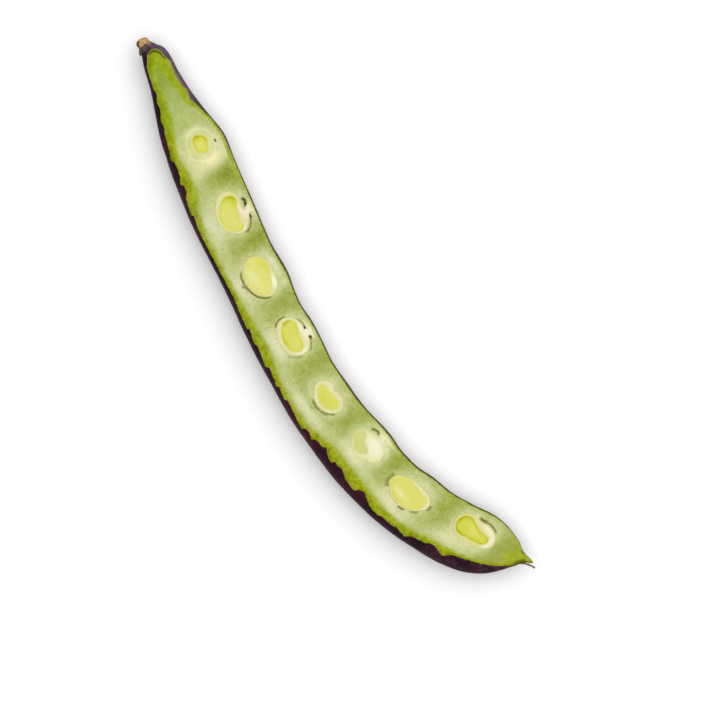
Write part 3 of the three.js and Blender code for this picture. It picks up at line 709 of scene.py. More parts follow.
def shades(tree, value, stops):
    """A run of colours, each at its own value, mixed in between."""
    low, high = stops[0][0], stops[-1][0]
    node = tree.nodes.new("ShaderNodeValToRGB")
    elements = node.color_ramp.elements
    elements[0].color = (*stops[0][1], 1)
    elements[1].color = (*stops[-1][1], 1)
    for place, colour in stops[1:-1]:
        elements.new((place - low) / (high - low)).color = (*colour, 1)
    share = sums(tree, "MULTIPLY", sums(tree, "SUBTRACT", value, low), 1 / (high - low))
    tree.links.new(share, node.inputs[0])
    return node.outputs[0]


def millimetres(tree):
    """The place in the object, in millimetres."""
    place = add(tree, "ShaderNodeTexCoord").outputs["Object"]
    return add(tree, "ShaderNodeVectorMath", {0: place, "Scale": 1 / MM}, operation="SCALE").outputs[0]


def noise(tree, place, size, detail=3.0, roughness=0.55, distortion=0.0, stretch=None):
    """Noise from 0 to 1 with features about size millimetres across, longer along one axis if stretched."""
    if stretch:
        place = add(tree, "ShaderNodeMapping", {"Vector": place, "Scale": stretch}).outputs[0]
    inputs = {"Vector": place, "Scale": 1 / size, "Detail": detail, "Roughness": roughness,
              "Distortion": distortion}
    return add(tree, "ShaderNodeTexNoise", inputs).outputs["Fac"]


def bumps(tree, shader, layers):
    """Stacks bump layers, each a height and how many millimetres it stands, onto a shader."""
    normal = None
    for height, distance in layers:
        inputs = {"Height": height, "Strength": 1.0, "Distance": distance * MM}
        if normal:
            inputs["Normal"] = normal
        normal = add(tree, "ShaderNodeBump", inputs).outputs["Normal"]
    tree.links.new(normal, shader.inputs["Normal"])


def surface(tree, shader, colour, roughness, layers):
    """Gives a shader its colour, its roughness and its bump layers."""
    tree.links.new(colour, shader.inputs["Base Color"])
    tree.links.new(roughness, shader.inputs["Roughness"])
    bumps(tree, shader, layers)


# The first three colours make a darker copy of the skin, laid on its upper flanks next to the cut, which is
# painted shade; the first is also the fine dark grain all over.
SKIN_DARK_GRAIN_AND_SHADE = (0.012, 0.0030, 0.0060)
SHADED_SKIN_MID = (0.034, 0.0070, 0.0160)
SHADED_SKIN_RED = (0.062, 0.0080, 0.0200)
# a paler bloom in the skin's mottle, and also the painted highlight along the seam ridge
SKIN_BLOOM_AND_HIGHLIGHT = (0.066, 0.030, 0.050)
SKIN_OLIVE = (0.115, 0.088, 0.064)
# painted sheen: a lilac that stands in for light catching the velvety skin on its inner side near the stem
PAINTED_LILAC_SHEEN = (0.150, 0.092, 0.135)
SKIN_EDGE = (0.085, 0.075, 0.012)
SKIN_ROSY = (0.330, 0.235, 0.200)
VELVET_BLUE = (0.060, 0.028, 0.056)
VELVET_RED = (0.105, 0.024, 0.046)
# partly a real bloom, partly a painted sheen where light catches the velvety flanks
VELVET_BLOOM_AND_SHEEN = (0.200, 0.115, 0.160)
SKIN_FRAYED = (0.215, 0.170, 0.115)


def unevenness(tree, place):
    """Three sizes of raggedness in plant tissue, each from about -0.5 to 0.5."""
    sizes = [noise(tree, place, 1.6, 2.0, 0.5, 0.5), noise(tree, place, 0.7, 3.0, 0.6, 0.5),
             noise(tree, place, 0.31, 3.0, 0.65)]
    return [sums(tree, "SUBTRACT", size, 0.5) for size in sizes]


def torn_side(tree, ragged, grainy):
    """How far inside the torn edge of the skin a point lies, made ragged."""
    torn = sums(tree, "MULTIPLY_ADD", grainy, 0.25, field(tree, "flesh_side"))
    return sums(tree, "MULTIPLY_ADD", ragged, 0.4, torn)


def skin_colour(tree, place, torn):
    """Aubergine skin: broad blotches of red over near black in a darker copy near the cut, which is painted
    shade; the velvet blue and red lower down, with a mottled bloom that is partly a painted sheen; a fine
    velvety mottle, a painted lilac sheen on the inner side near the stem, a paler seam line that is a
    painted highlight, olive at the neck.
    """
    broad = noise(tree, place, 9.0, 3.0, 0.5, 0.4)
    red = noise(tree, place, 14.0, 2.0, 0.5, 0.8)
    mottle = noise(tree, place, 0.9, 5.0, 0.7)
    grain = noise(tree, place, 0.22, 2.0, 0.6)
    # painted shade: near the cut the skin starts as a darker copy, red blotches over near black
    colour = blend(tree, fit(tree, broad, 0.35, 0.7), SKIN_DARK_GRAIN_AND_SHADE, SHADED_SKIN_MID)
    colour = blend(tree, sums(tree, "MULTIPLY", fit(tree, red, 0.48, 0.72), 0.6), colour, SHADED_SKIN_RED)
    bloom = sums(tree, "MULTIPLY", fit(tree, mottle, 0.42, 0.75), 0.15)
    colour = blend(tree, bloom, colour, SKIN_BLOOM_AND_HIGHLIGHT)
    blotch = noise(tree, place, 3.5, 4.0, 0.65, 0.6)
    velvet = blend(tree, fit(tree, blotch, 0.30, 0.70), VELVET_BLUE, VELVET_RED)
    # a mottled bloom on the lower flanks, partly painted sheen
    velvet = blend(tree, sums(tree, "MULTIPLY", fit(tree, mottle, 0.44, 0.68), 0.75), velvet, VELVET_BLOOM_AND_SHEEN)
    # the velvet colours take over lower down the flanks; above them the darker copy stays as painted shade
    flank = sums(tree, "MULTIPLY_ADD", sums(tree, "SUBTRACT", blotch, 0.5), 1.2, field(tree, "flank"))
    colour = blend(tree, sums(tree, "MULTIPLY", fit(tree, flank, 0.0, 1.1), 0.85), colour, velvet)
    # painted sheen: the lilac laid on the inner side near the stem
    lilac = sums(tree, "MULTIPLY", field(tree, "lilac"), fit(tree, mottle, 0.3, 0.65, 0.35, 1.0))
    colour = blend(tree, lilac, colour, PAINTED_LILAC_SHEEN)
    colour = blend(tree, sums(tree, "MULTIPLY", fit(tree, grain, 0.52, 0.75), 0.35), colour, SKIN_DARK_GRAIN_AND_SHADE)
    neck = sums(tree, "MULTIPLY", field(tree, "neck"), fit(tree, mottle, 0.3, 0.6, 0.5, 1.0))
    colour = blend(tree, neck, colour, SKIN_OLIVE)
    rosy = sums(tree, "MULTIPLY", field(tree, "rosy"), fit(tree, mottle, 0.3, 0.6, 0.4, 1.0))
    colour = blend(tree, rosy, colour, SKIN_ROSY)
    frayed = sums(tree, "MULTIPLY", field(tree, "frayed"), fit(tree, torn, -0.55, -0.10))
    frayed = sums(tree, "MULTIPLY", frayed, fit(tree, mottle, 0.35, 0.6, 0.3, 1.0))
    colour = blend(tree, frayed, colour, SKIN_FRAYED)
    # painted highlight: a paler line along the seam ridge
    colour = blend(tree, sums(tree, "MULTIPLY", field(tree, "seam"), 0.12), colour, SKIN_BLOOM_AND_HIGHLIGHT)
    edge = sums(tree, "MULTIPLY_ADD", sums(tree, "SUBTRACT", mottle, 0.5), 1.2, field(tree, "edge"))
    return blend(tree, fit(tree, edge, 0.25, 0.8), colour, SKIN_EDGE), mottle, grain


def skin_material():
    material, tree, shader = new_material("pod_skin", Specular_IOR_Level=0.03)
    place = millimetres(tree)
    _, ragged, grainy = unevenness(tree, place)
    colour, mottle, grain = skin_colour(tree, place, torn_side(tree, ragged, grainy))
    wrinkle = noise(tree, place, 1.6, 3.0, 0.6, 0.3, stretch=(0.25, 1.0, 1.0))
    surface(tree, shader, colour, fit(tree, mottle, 0.3, 0.7, 0.42, 0.6),
            [(wrinkle, 0.16), (mottle, 0.09), (grain, 0.03)])
    return material


FLESH_SHADES = [
    (-0.20, (0.12, 0.14, 0.01)), (0.00, (0.20, 0.25, 0.03)), (0.20, (0.30, 0.34, 0.06)),
    (0.45, (0.42, 0.46, 0.16)), (0.65, (0.53, 0.56, 0.26)), (1.00, (0.72, 0.69, 0.40)),
    (1.20, (0.81, 0.78, 0.52)),
]
WALL_SHADES = [
    (-0.25, (0.11, 0.12, 0.0)), (0.00, (0.21, 0.24, 0.0)), (0.20, (0.31, 0.36, 0.01)),
    (0.40, (0.40, 0.45, 0.05)),
]
COOL_TINT = (0.0, 0.004, 0.055)
CREAM_TINT = (0.99, 0.97, 0.74)
FRESH_TINT = (0.91, 1.0, 0.95)
RIM_OLIVE = (0.100, 0.092, 0.012)
TORN_BEIGE = (0.290, 0.245, 0.110)
# painted shade: the dark olive laid in the hollows
HOLLOW_PAINTED_SHADE = (0.070, 0.076, 0.0005)
# painted shade: the olive laid along the cracks' gaps
CRACK_PAINTED_SHADE = (0.150, 0.165, 0.004)
STEM_DARK = (0.070, 0.098, 0.001)


def cut_material():
    """The cut face: translucent flesh from green to white, the vivid wall and the torn skin's edge, with
    painted shade in its hollows and cracks.
    """
    material, tree, shader = new_material(
        "pod_cut_face", Subsurface_Weight=0.15, Subsurface_Radius=(1.0, 1.0, 0.35),
        Subsurface_Scale=0.5 * MM, Specular_IOR_Level=0.03)
    place = millimetres(tree)
    drawn, ragged, grainy = unevenness(tree, place)
    calm = field(tree, "calm")
    fine = sums(tree, "MULTIPLY", grainy, 0.42)
    rough = sums(tree, "MULTIPLY", sums(tree, "MULTIPLY_ADD", ragged, 0.36, fine), calm)
    tone = sums(tree, "MULTIPLY_ADD", drawn, 0.35, sums(tree, "ADD", rough, field(tree, "tone")))
    wall_rough = sums(tree, "MULTIPLY", sums(tree, "MULTIPLY_ADD", ragged, 1.6, drawn), calm)
    wall_tone = sums(tree, "MULTIPLY_ADD", wall_rough, 0.25, tone)
    soft_tone = sums(tree, "MULTIPLY_ADD", rough, 0.4, tone)
    wall = sums(tree, "MULTIPLY_ADD", ragged, 1.2, field(tree, "wall"))
    vivid = sums(tree, "MULTIPLY_ADD", drawn, 0.6, field(tree, "vivid"))
    vivid = sums(tree, "MAXIMUM", fit(tree, wall, -0.25, 0.35), fit(tree, vivid, 0.0, 1.0))
    flesh = shades(tree, soft_tone, FLESH_SHADES)
    colour = blend(tree, vivid, flesh, shades(tree, wall_tone, WALL_SHADES))
    colour = blend(tree, field(tree, "cool"), colour, COOL_TINT, "ADD")
    colour = blend(tree, field(tree, "cream"), colour, CREAM_TINT, "MULTIPLY")
    colour = blend(tree, field(tree, "fresh"), colour, FRESH_TINT, "MULTIPLY")
    stem_end = sums(tree, "MULTIPLY_ADD", ragged, 1.5, field(tree, "stem_end"))
    colour = blend(tree, fit(tree, stem_end, 0.0, 1.0), colour, STEM_DARK)

    torn = torn_side(tree, ragged, grainy)
    rim = sums(tree, "MULTIPLY", field(tree, "rim"), fit(tree, torn, 0.24, 0.03))
    colour = blend(tree, rim, colour, RIM_OLIVE)
    off_line = sums(tree, "ABSOLUTE", sums(tree, "SUBTRACT", torn, 0.10))
    beige = sums(tree, "MULTIPLY", field(tree, "beige"), fit(tree, off_line, 0.18, 0.02))
    beige = sums(tree, "MULTIPLY_ADD", drawn, 2.0, beige)
    colour = blend(tree, fit(tree, beige, 0.45, 1.0), colour, TORN_BEIGE)
    # painted shade along the cracks
    off_line = sums(tree, "ABSOLUTE", field(tree, "crack_off"))
    crack_shade = sums(tree, "MULTIPLY", field(tree, "crack_shade"), fit(tree, off_line, 1.2, 0.2))
    colour = blend(tree, crack_shade, colour, CRACK_PAINTED_SHADE)
    # painted shade in the hollows
    colour = blend(tree, field(tree, "hollow_shade"), colour, HOLLOW_PAINTED_SHADE)

    is_flesh = fit(tree, torn, -0.05, 0.06)
    skin, _, _ = skin_colour(tree, place, torn)
    wet = fit(tree, ragged, -0.2, 0.2, 0.32, 0.5)
    dry = sums(tree, "SUBTRACT", 1.0, is_flesh)
    uncracked = sums(tree, "SUBTRACT", 1.0, crack_shade)
    surface(tree, shader, blend(tree, is_flesh, skin, colour), sums(tree, "MULTIPLY_ADD", dry, 0.12, wet),
            [(drawn, 0.12), (ragged, 0.05), (grainy, 0.03), (uncracked, 0.12)])
    return material


COAT_SHADES = [
    (-0.40, (0.50, 0.47, 0.10)), (0.10, (0.62, 0.60, 0.22)), (0.50, (0.70, 0.67, 0.38)),
    (1.00, (0.82, 0.79, 0.60)),
]
COAT_PINK = (0.800, 0.580, 0.400)
KERNEL_DULL = (0.500, 0.460, 0.290)
KERNEL_SHADES = [
    (0.00, (0.38, 0.38, 0.0)), (0.20, (0.49, 0.50, 0.02)), (0.50, (0.60, 0.60, 0.10)),
    (0.75, (0.65, 0.64, 0.18)), (1.00, (0.69, 0.69, 0.30)),
]


def coat_colour(tree, uneven):
    """The cut seed coat: thin and yellowish or thick and white, pink in places, melting into the flesh."""
    colour = shades(tree, sums(tree, "MULTIPLY_ADD", uneven, 0.35, field(tree, "coat_tone")), COAT_SHADES)
    colour = blend(tree, sums(tree, "MULTIPLY", field(tree, "pink"), 0.6), colour, COAT_PINK)
    flesh = shades(tree, sums(tree, "MULTIPLY_ADD", uneven, 0.3, field(tree, "tone")), FLESH_SHADES)
    return blend(tree, field(tree, "outer"), colour, flesh)


def seed_materials():
    """The cream of the seed coats and the yellow green of the kernels, each shaded by its own tone."""
    coat, tree, shader = new_material(
        "seed_coat", Subsurface_Weight=0.2, Subsurface_Radius=(1.0, 0.95, 0.5),
        Subsurface_Scale=0.5 * MM, Specular_IOR_Level=0.05)
    place = millimetres(tree)
    cloud = noise(tree, place, 1.0, 3.0, 0.6, 0.3)
    fine = noise(tree, place, 0.3, 3.0, 0.6)
    uneven = sums(tree, "MULTIPLY_ADD", fine, 0.6, sums(tree, "SUBTRACT", cloud, 0.8))
    surface(tree, shader, coat_colour(tree, uneven), fit(tree, fine, 0.3, 0.7, 0.32, 0.5),
            [(cloud, 0.08), (fine, 0.02)])

    kernel, tree, shader = new_material(
        "cotyledon", Subsurface_Weight=0.2, Subsurface_Radius=(1.0, 1.0, 0.25), Subsurface_Scale=0.6 * MM,
        Specular_IOR_Level=0.05)
    place = millimetres(tree)
    cloud = noise(tree, place, 1.3, 4.0, 0.6, 0.6)
    fine = noise(tree, place, 0.28, 3.0, 0.65)
    uneven = sums(tree, "SUBTRACT", cloud, 0.5)
    level = sums(tree, "MULTIPLY_ADD", uneven, 0.35, field(tree, "kernel_tone"))
    level = sums(tree, "MULTIPLY_ADD", sums(tree, "SUBTRACT", fine, 0.5), 0.60, level)
    colour = blend(tree, field(tree, "dull"), shades(tree, level, KERNEL_SHADES), KERNEL_DULL)
    colour = blend(tree, field(tree, "melt"), colour, coat_colour(tree, uneven))
    surface(tree, shader, colour, fit(tree, fine, 0.3, 0.7, 0.26, 0.42), [(cloud, 0.12), (fine, 0.025)])
    return coat, kernel


STALK_ROSY = (0.76, 0.67, 0.48)
STALK_WHITE = (0.84, 0.80, 0.60)


def stalk_material():
    """White stalk tissue flushed with pink, its sides melting into the flesh."""
    material, tree, shader = new_material(
        "seed_stalk", Subsurface_Weight=0.2, Subsurface_Radius=(1.0, 0.8, 0.6), Subsurface_Scale=0.5 * MM,
        Specular_IOR_Level=0.05)
    place = millimetres(tree)
    cloud = noise(tree, place, 0.8, 3.0, 0.6, 0.3)
    colour = blend(tree, fit(tree, cloud, 0.35, 0.7), STALK_ROSY, STALK_WHITE)
    flesh = shades(tree, field(tree, "tone"), FLESH_SHADES)
    colour = blend(tree, field(tree, "edge"), colour, flesh)
    surface(tree, shader, colour, fit(tree, cloud, 0.3, 0.7, 0.35, 0.5), [(cloud, 0.06)])
    return material


def dry_material(name, dark, light, darkest, size, stretch):
    """Dry plant fibre in two colours, streaked along the piece, and a third, darker one where its shade
    field is high; on the stem stub that is partly painted shade.
    """
    material, tree, shader = new_material(name, Specular_IOR_Level=0.1)
    place = millimetres(tree)
    streak = noise(tree, place, size, 4.0, 0.65, 0.3, stretch=stretch)
    fine = noise(tree, place, size * 0.3, 3.0, 0.6)
    colour = blend(tree, fit(tree, streak, 0.33, 0.68), dark, light)
    shade = sums(tree, "MULTIPLY_ADD", sums(tree, "SUBTRACT", fine, 0.5), 0.4, field(tree, "shade"))
    # the darkest colour where the shade field is high, painted shade on the stub's underside and its shaded
    # side
    colour = blend(tree, shade, colour, darkest)
    surface(tree, shader, colour, fit(tree, fine, 0.3, 0.7, 0.6, 0.85), [(streak, 0.12), (fine, 0.05)])
    return material


# ---- the pod -------------------------------------------------------------------------------------

TOP_COLUMNS = 110
BOTTOM_COLUMNS = 40
SOFT_RIM = 0.07          # how softly the cut turns into the skin
SKIN_THICKNESS = 0.09
FLESH_UNDER_COAT = 0.22  # how far the flesh runs in under a seed coat's edge


NECK_END, TIP_START = 6.0, 138.0     # rows of points stand closer before and after these


def stations():
    """Where the rows of points stand along the pod."""
    return np.concatenate([
        np.linspace(OUTLINE[0][0], NECK_END, 34)[:-1],
        np.linspace(NECK_END, TIP_START, 500)[:-1],
        np.linspace(TIP_START, OUTLINE[-1][0], 62),
    ])


def cut_relief(x, y):
    """Depth below the knife's cut, and how much of each point takes the painted shade of a hollow."""
    depth = -0.05 * ripple(x, y, 3.0, 11) - 0.02 * ripple(x, y, 0.9, 12)
    cups = np.zeros_like(x)
    for seed in SEEDS:
        distance = beyond(seed["coat"], x, y)
        inside = step(-FLESH_UNDER_COAT, -FLESH_UNDER_COAT - 0.4, distance)
        cups = np.maximum(cups, inside * seed["depth"])
        near = np.exp(-(distance / 0.35) ** 2)
        depth = depth * (1 - 0.8 * near) + 0.03 * near
    hollow_shade = np.zeros_like(x)
    for at_x, at_y, half_long, half_wide, turn in HOLLOWS:
        c, s = math.cos(math.radians(turn)), math.sin(math.radians(turn))
        u = ((x - at_x) * c + (y - at_y) * s) / half_long
        v = (-(x - at_x) * s + (y - at_y) * c) / half_wide
        dent = step(1.5, 0.5, np.hypot(u, v))
        depth = np.maximum(depth, dent * HOLLOW_DEPTH)
        hollow_shade = np.maximum(hollow_shade, dent)
    return np.maximum(depth, cups), hollow_shade


def crack_fields(x, y):
    """How dark the painted shade of a crack is near each point, and how many of its widths away its line
    runs, signed.
    """
    off, dark = np.full(x.shape, 3.0), np.zeros(x.shape)
    for strength, width, route in CRACKS:
        distance, place = from_line(route, x, y)
        widths = np.clip(distance / width, -3, 3)
        nearer = np.abs(widths) < np.abs(off)
        ends = step(0.0, 0.12, place) * step(1.0, 0.88, place)
        off = np.where(nearer, widths, off)
        dark = np.where(nearer, strength * ends * step(3.0, 2.4, np.abs(widths)), dark)
    return dark, off


def pod_points():
    """The pod as rows of points: across the top from outer to inner edge, then back underneath."""
    xs = stations()
    a, b, mid = half_width(xs)[:, None], half_depth(xs)[:, None], middle(xs)[:, None]

    q = np.linspace(-1, 1, TOP_COLUMNS)
    share = (0.4 * q + 0.6 * np.sin(q * math.pi / 2))[None, :]
    x = np.broadcast_to(xs[:, None], (len(xs), TOP_COLUMNS))
    y = mid + a * share
    flesh_side = np.minimum((y - torn_edge(x)) * 0.95, inner_skin_edge(x) - y)
    round_top = AXIS_HEIGHT + b * np.sqrt(np.maximum(1 - share**2, 0))
    drop = np.where(y > mid, np.maximum(cut_height(x, y) - round_top, 0), 0) * step(21.0, 27.0, x)
    flesh_side = np.where(x < CUT_START, -1.0, flesh_side - 1.2 * drop)
    peeled = step(-0.05, 0.12, flesh_side)
    depth, hollow_shade = cut_relief(x, y)
    cut = cut_height(x, y) - depth + SKIN_THICKNESS * (1 - peeled)
    round_top = round_top - SKIN_THICKNESS * peeled * np.sqrt(np.maximum(1 - share**2, 0))
    top = -SOFT_RIM * np.logaddexp(-round_top / SOFT_RIM, -cut / SOFT_RIM)
    edge = np.abs(q) == 1
    top[:, edge] = AXIS_HEIGHT
    top_rows = np.stack([x, y, top], -1)

    u = np.linspace(0, 1, BOTTOM_COLUMNS + 2)[1:-1]
    t = -math.pi * (u - 0.35 / TAU * np.sin(TAU * u))[None, :]
    under = np.stack([
        np.broadcast_to(xs[:, None], (len(xs), BOTTOM_COLUMNS)),
        mid + a * np.cos(t), AXIS_HEIGHT + b * np.sin(t),
    ], -1)
    return np.concatenate([top_rows, under], 1), flesh_side, hollow_shade


def skin_relief(rows):
    """Moves the skin in and out: swellings over the seeds and the two seams. Returns the seams' share."""
    x, y, z = rows[..., 0], rows[..., 1], rows[..., 2]
    a, b, mid = half_width(x), half_depth(x), middle(x)
    across, up = (y - mid) / a, (z - AXIS_HEIGHT) / np.maximum(b, 0.1)
    swell = np.zeros_like(x)
    for seed in SEEDS:
        swell = swell + np.exp(-((x - seed["coat"][0][0]) / 4.2) ** 2)
    side = np.exp(-((up + 0.35) / 0.38) ** 2) * (z < AXIS_HEIGHT + 0.2)
    away = z - AXIS_HEIGHT
    seam = np.exp(-((away + 0.25) / 0.42) ** 2) * (np.abs(across) > 0.85)
    full = step(1.5, 7.0, x) * step(149.0, 144.0, x)
    out = full * (0.16 * side * (swell - 0.5) + 0.03 * ripple(x, z * 2 + y, 2.2, 21) * side)
    out = out + full * 0.13 * seam
    y = y + np.sign(across) * out
    return np.stack([x, y, np.maximum(z, 0.0)], -1), seam * full


def pod_fields(rows, flesh_side, hollow_shade, seam):
    """The values that the pod's two materials read, one for each of its points."""
    top = rows[:, :TOP_COLUMNS]
    x, y = top[..., 0], top[..., 1]
    inner_distance = inner_skin_edge(x) - y
    outer_distance = y - torn_edge(x)
    stem = step(23.0, 9.0, x)
    wall = np.clip((wall_border(x) - y) / (1.2 + 1.6 * stem), -1, 1)
    middling = 1 - 0.5 * step(24.0, 29.0, x) * step(45.0, 41.0, x)
    walls_in = inner_distance / inner_wall(x)
    vivid = patches(VIVID_PATCHES, x, y)
    vivid += 1.1 * middling * step(1.1 + 0.4 * stem, 0.8 - 0.5 * stem, walls_in)
    vivid += 0.4 * step(0.9, 0.3, inner_distance) * step(48.0, 60.0, x) * step(146.0, 140.0, x)
    inner_side = inner_distance < outer_distance
    rim = inner_side * step(40.0, 47.0, x) * step(136.0, 128.0, x)
    beige = np.where(inner_side, 0.9 * step(24.0, 20.0, x) + 0.8 * step(22.0, 27.0, x) * step(48.0, 42.0, x),
                     0.55 + 0.5 * step(14.0, 8.0, x))
    beige = np.maximum(beige, 1.2 * step(8.0, 5.0, x))
    tone = flesh_tone(x, y)
    for seed in SEEDS:
        near = np.exp(-(((beyond(seed["coat"], x, y) - 0.65) / 0.22) ** 2))
        tone += seed.get("halo", 0.0) * near
    dark_line, _ = from_line(STEM_LINE, x, y)
    crack_shade, crack_off = crack_fields(x, y)

    calmer = np.maximum(step(26.0, 16.0, x), step(136.0, 142.0, x))
    fields = {
        "flesh_side": flesh_side, "tone": tone, "wall": wall, "vivid": vivid, "rim": rim, "beige": beige,
        "hollow_shade": hollow_shade, "crack_shade": crack_shade, "crack_off": crack_off, "cool": patches(COOL_PATCHES, x, y),
        "cream": patches(CREAM_PATCHES, x, y), "fresh": 0.9 * step(26.0, 16.0, x),
        "calm": 1 - 0.5 * calmer, "stem_end": 0.9 * np.exp(-((dark_line / 0.42) ** 2)),
    }
    under = np.zeros((len(rows), BOTTOM_COLUMNS))
    fields = {name: np.concatenate([values, under - (name == "flesh_side")], 1)
              for name, values in fields.items()}
    whole_x, whole_y = rows[..., 0], rows[..., 1]
    side = (whole_y - middle(whole_x)) / half_width(whole_x)
    fields["neck"] = 0.9 * step(2.5, 1.4, whole_x) * step(0.4, -0.3, side)
    fields["rosy"] = step(1.8, 1.1, whole_x) * step(0.0, 0.5, side)
    # painted sheen: where the lilac is laid on, mostly the inner side near the stem, a little on the outer
    # side at the neck
    fields["lilac"] = (step(26.0, 12.0, whole_x) * step(-0.3, 0.7, side) * 0.9
                       * (1 - 0.3 * step(0.9, 1.0, side)))
    fields["lilac"] = np.maximum(fields["lilac"], 0.25 * step(3.6, 2.8, whole_x) * step(-1.0, -0.4, side))
    fields["frayed"] = step(23.0, 16.0, whole_x) * step(5.0, 9.0, whole_x) * step(0.0, 0.3, side)
    height = rows[..., 2] - AXIS_HEIGHT
    # painted shade: 0 near the cut, where the skin keeps its darker copy, up to 1 below the pod's middle,
    # where it has its own velvet colours; towards the tip a little of the velvet shows near the cut too
    fields["flank"] = np.maximum(step(1.6, -2.4, height), 0.35 * step(126.0, 134.0, whole_x))
    fields["seam"] = seam
    rim_height = np.maximum(cut_height(whole_x, inner_edge(whole_x)) - AXIS_HEIGHT, 0.1)
    fields["edge"] = (step(0.90, 0.95, side) * step(24.0, 42.0, whole_x) * step(148.0, 144.0, whole_x)
                      * step(0.2, 0.7, height / rim_height))
    fields["edge"] = np.maximum(fields["edge"], step(145.6, 146.8, whole_x) * step(-0.2, 0.1, height))
    return fields


def make_pod(skin, cut_face):
    """The half pod: skin below and on the flanks, the cut face wherever flesh shows."""
    rows, flesh_side, hollow_shade = pod_points()
    rows, seam = skin_relief(rows)
    count, columns = rows.shape[:2]
    fields = pod_fields(rows, flesh_side, hollow_shade, seam)
    faces = grid_faces(count, columns).tolist()
    side = fields["flesh_side"].ravel()
    slots = [1 if max(side[i] for i in face) > -0.35 else 0 for face in faces]
    points = rows.reshape(-1, 3)
    ends = [rows[0].mean(0), rows[-1].mean(0)]
    start, end = len(points), len(points) + 1
    last = (count - 1) * columns
    for i in range(columns):
        n = (i + 1) % columns
        faces.append([start, n, i])
        faces.append([end, last + i, last + n])
        slots += [0, 1]
    points = np.concatenate([points, ends])
    fields = {name: np.append(values.ravel(), [values[0, 0], values[-1, TOP_COLUMNS // 2]])
              for name, values in fields.items()}
    return piece("bean_pod", points, faces, [skin, cut_face], slots, fields)


# ---- seeds ---------------------------------------------------------------------------------------

SEED_POINTS = 132
COAT_UNDER_KERNEL = 0.2  # how far the coat runs in under the kernel's edge


def on_cut(x, y, lift):
    return np.stack([x, y, cut_height(x, y) + lift], -1)


def bowl(shape, depth, angles, grow=0.0, rings=6):
    """Rings of a seed's hidden underside, from its bottom up to just under its rim."""
    made = []
    for below in np.linspace(80, 12, rings):
        tilt = math.radians(below)
        x, y = outline(shape, angles, grow, math.cos(tilt))
        made.append(on_cut(x, y, -depth * math.sin(tilt)))
    return made


def coat_fields(seed, points):
    """Where the seed coat is thick and creamy, pink, or melts into the flesh."""
    x, y = points[:, 0], points[:, 1]
    depth = np.maximum(-beyond(seed["coat"], x, y), 0)
    return {
        "outer": seed.get("merge", 0.6) * np.exp(-((depth / seed.get("fade", 0.16)) ** 2)),
        "tone": flesh_tone(x, y),
        "coat_tone": patches(seed["coat_patches"], x, y, seed["coat_tone"]),
        "pink": patches(PINK_PATCHES, x, y),
    }


def make_coat(number, seed, material):
    """A seed coat: a cup whose cut edge shows as a ring of uneven width."""
    angles = np.linspace(0, TAU, SEED_POINTS, endpoint=False)
    coat, kernel = seed["coat"], seed["kernel"]
    outer = np.stack(outline(coat, angles), -1)
    facing = np.arctan2(outer[:, 1] - kernel[0][1], outer[:, 0] - kernel[0][0])
    inner = np.stack(outline(kernel, facing, -COAT_UNDER_KERNEL), -1)
    rings = bowl(coat, seed["depth"], angles)
    steps = 14
    for i in range(steps + 1):
        share = i / steps
        flat = outer * (1 - share) + inner * share
        crown = seed["rise"] * (1 - (1 - min(share * 2.5, 1)) ** 2) - 0.12 * step(0.12, 0.0, share)
        inside = -beyond(kernel, flat[:, 0], flat[:, 1])
        dip = 0.25 * step(0.0, COAT_UNDER_KERNEL, inside)
        uneven = 0.03 * ripple(flat[:, 0], flat[:, 1], 0.8, 31 + number) * math.sin(math.pi * share)
        rings.append(on_cut(flat[:, 0], flat[:, 1], crown - dip + uneven))
    rings += bowl(kernel, seed["depth"] - 0.4, facing, -COAT_UNDER_KERNEL)[::-1]
    points, faces = ringed(rings)
    return piece(f"seed_skin_{number}", points, faces, [material], None, coat_fields(seed, points))


def make_kernel(number, seed, material):
    """The cut cotyledons inside the coat, slightly domed or sunken, with an uneven surface."""
    angles = np.linspace(0, TAU, SEED_POINTS, endpoint=False)
    kernel = seed["kernel"]
    rings = bowl(kernel, seed["depth"] - 0.45, angles, -COAT_UNDER_KERNEL)
    for share in np.concatenate([[1.0, 0.985], np.linspace(0.96, 0.05, 26)]):
        x, y = outline(kernel, angles, 0.0, share)
        edge = 1 - np.exp(beyond(kernel, x, y) / 0.2)
        lift = seed["rise"] - 0.04 + (0.05 + seed["dome"] * (1 - share**2)) * edge
        lift = lift + 0.04 * edge * ripple(x, y, 1.4, 50 + number)
        rings.append(on_cut(x, y, lift))
    points, faces = ringed(rings)
    x, y = points[:, 0], points[:, 1]
    inwards = np.maximum(-beyond(kernel, x, y), 0)
    fields = coat_fields(seed, points)
    ring = seed.get("ring", 0.0) * np.exp(-(((inwards - 0.3) / 0.3) ** 2))
    fields["kernel_tone"] = patches(seed["kernel_patches"], x, y, seed["kernel_tone"]) - ring
    fields["dull"] = np.full(len(points), seed.get("dull", 0.0))
    fields["melt"] = np.exp(-((inwards / seed["soft"]) ** 2))
    return piece(f"seed_kernel_{number}", points, faces, [material], None, fields)


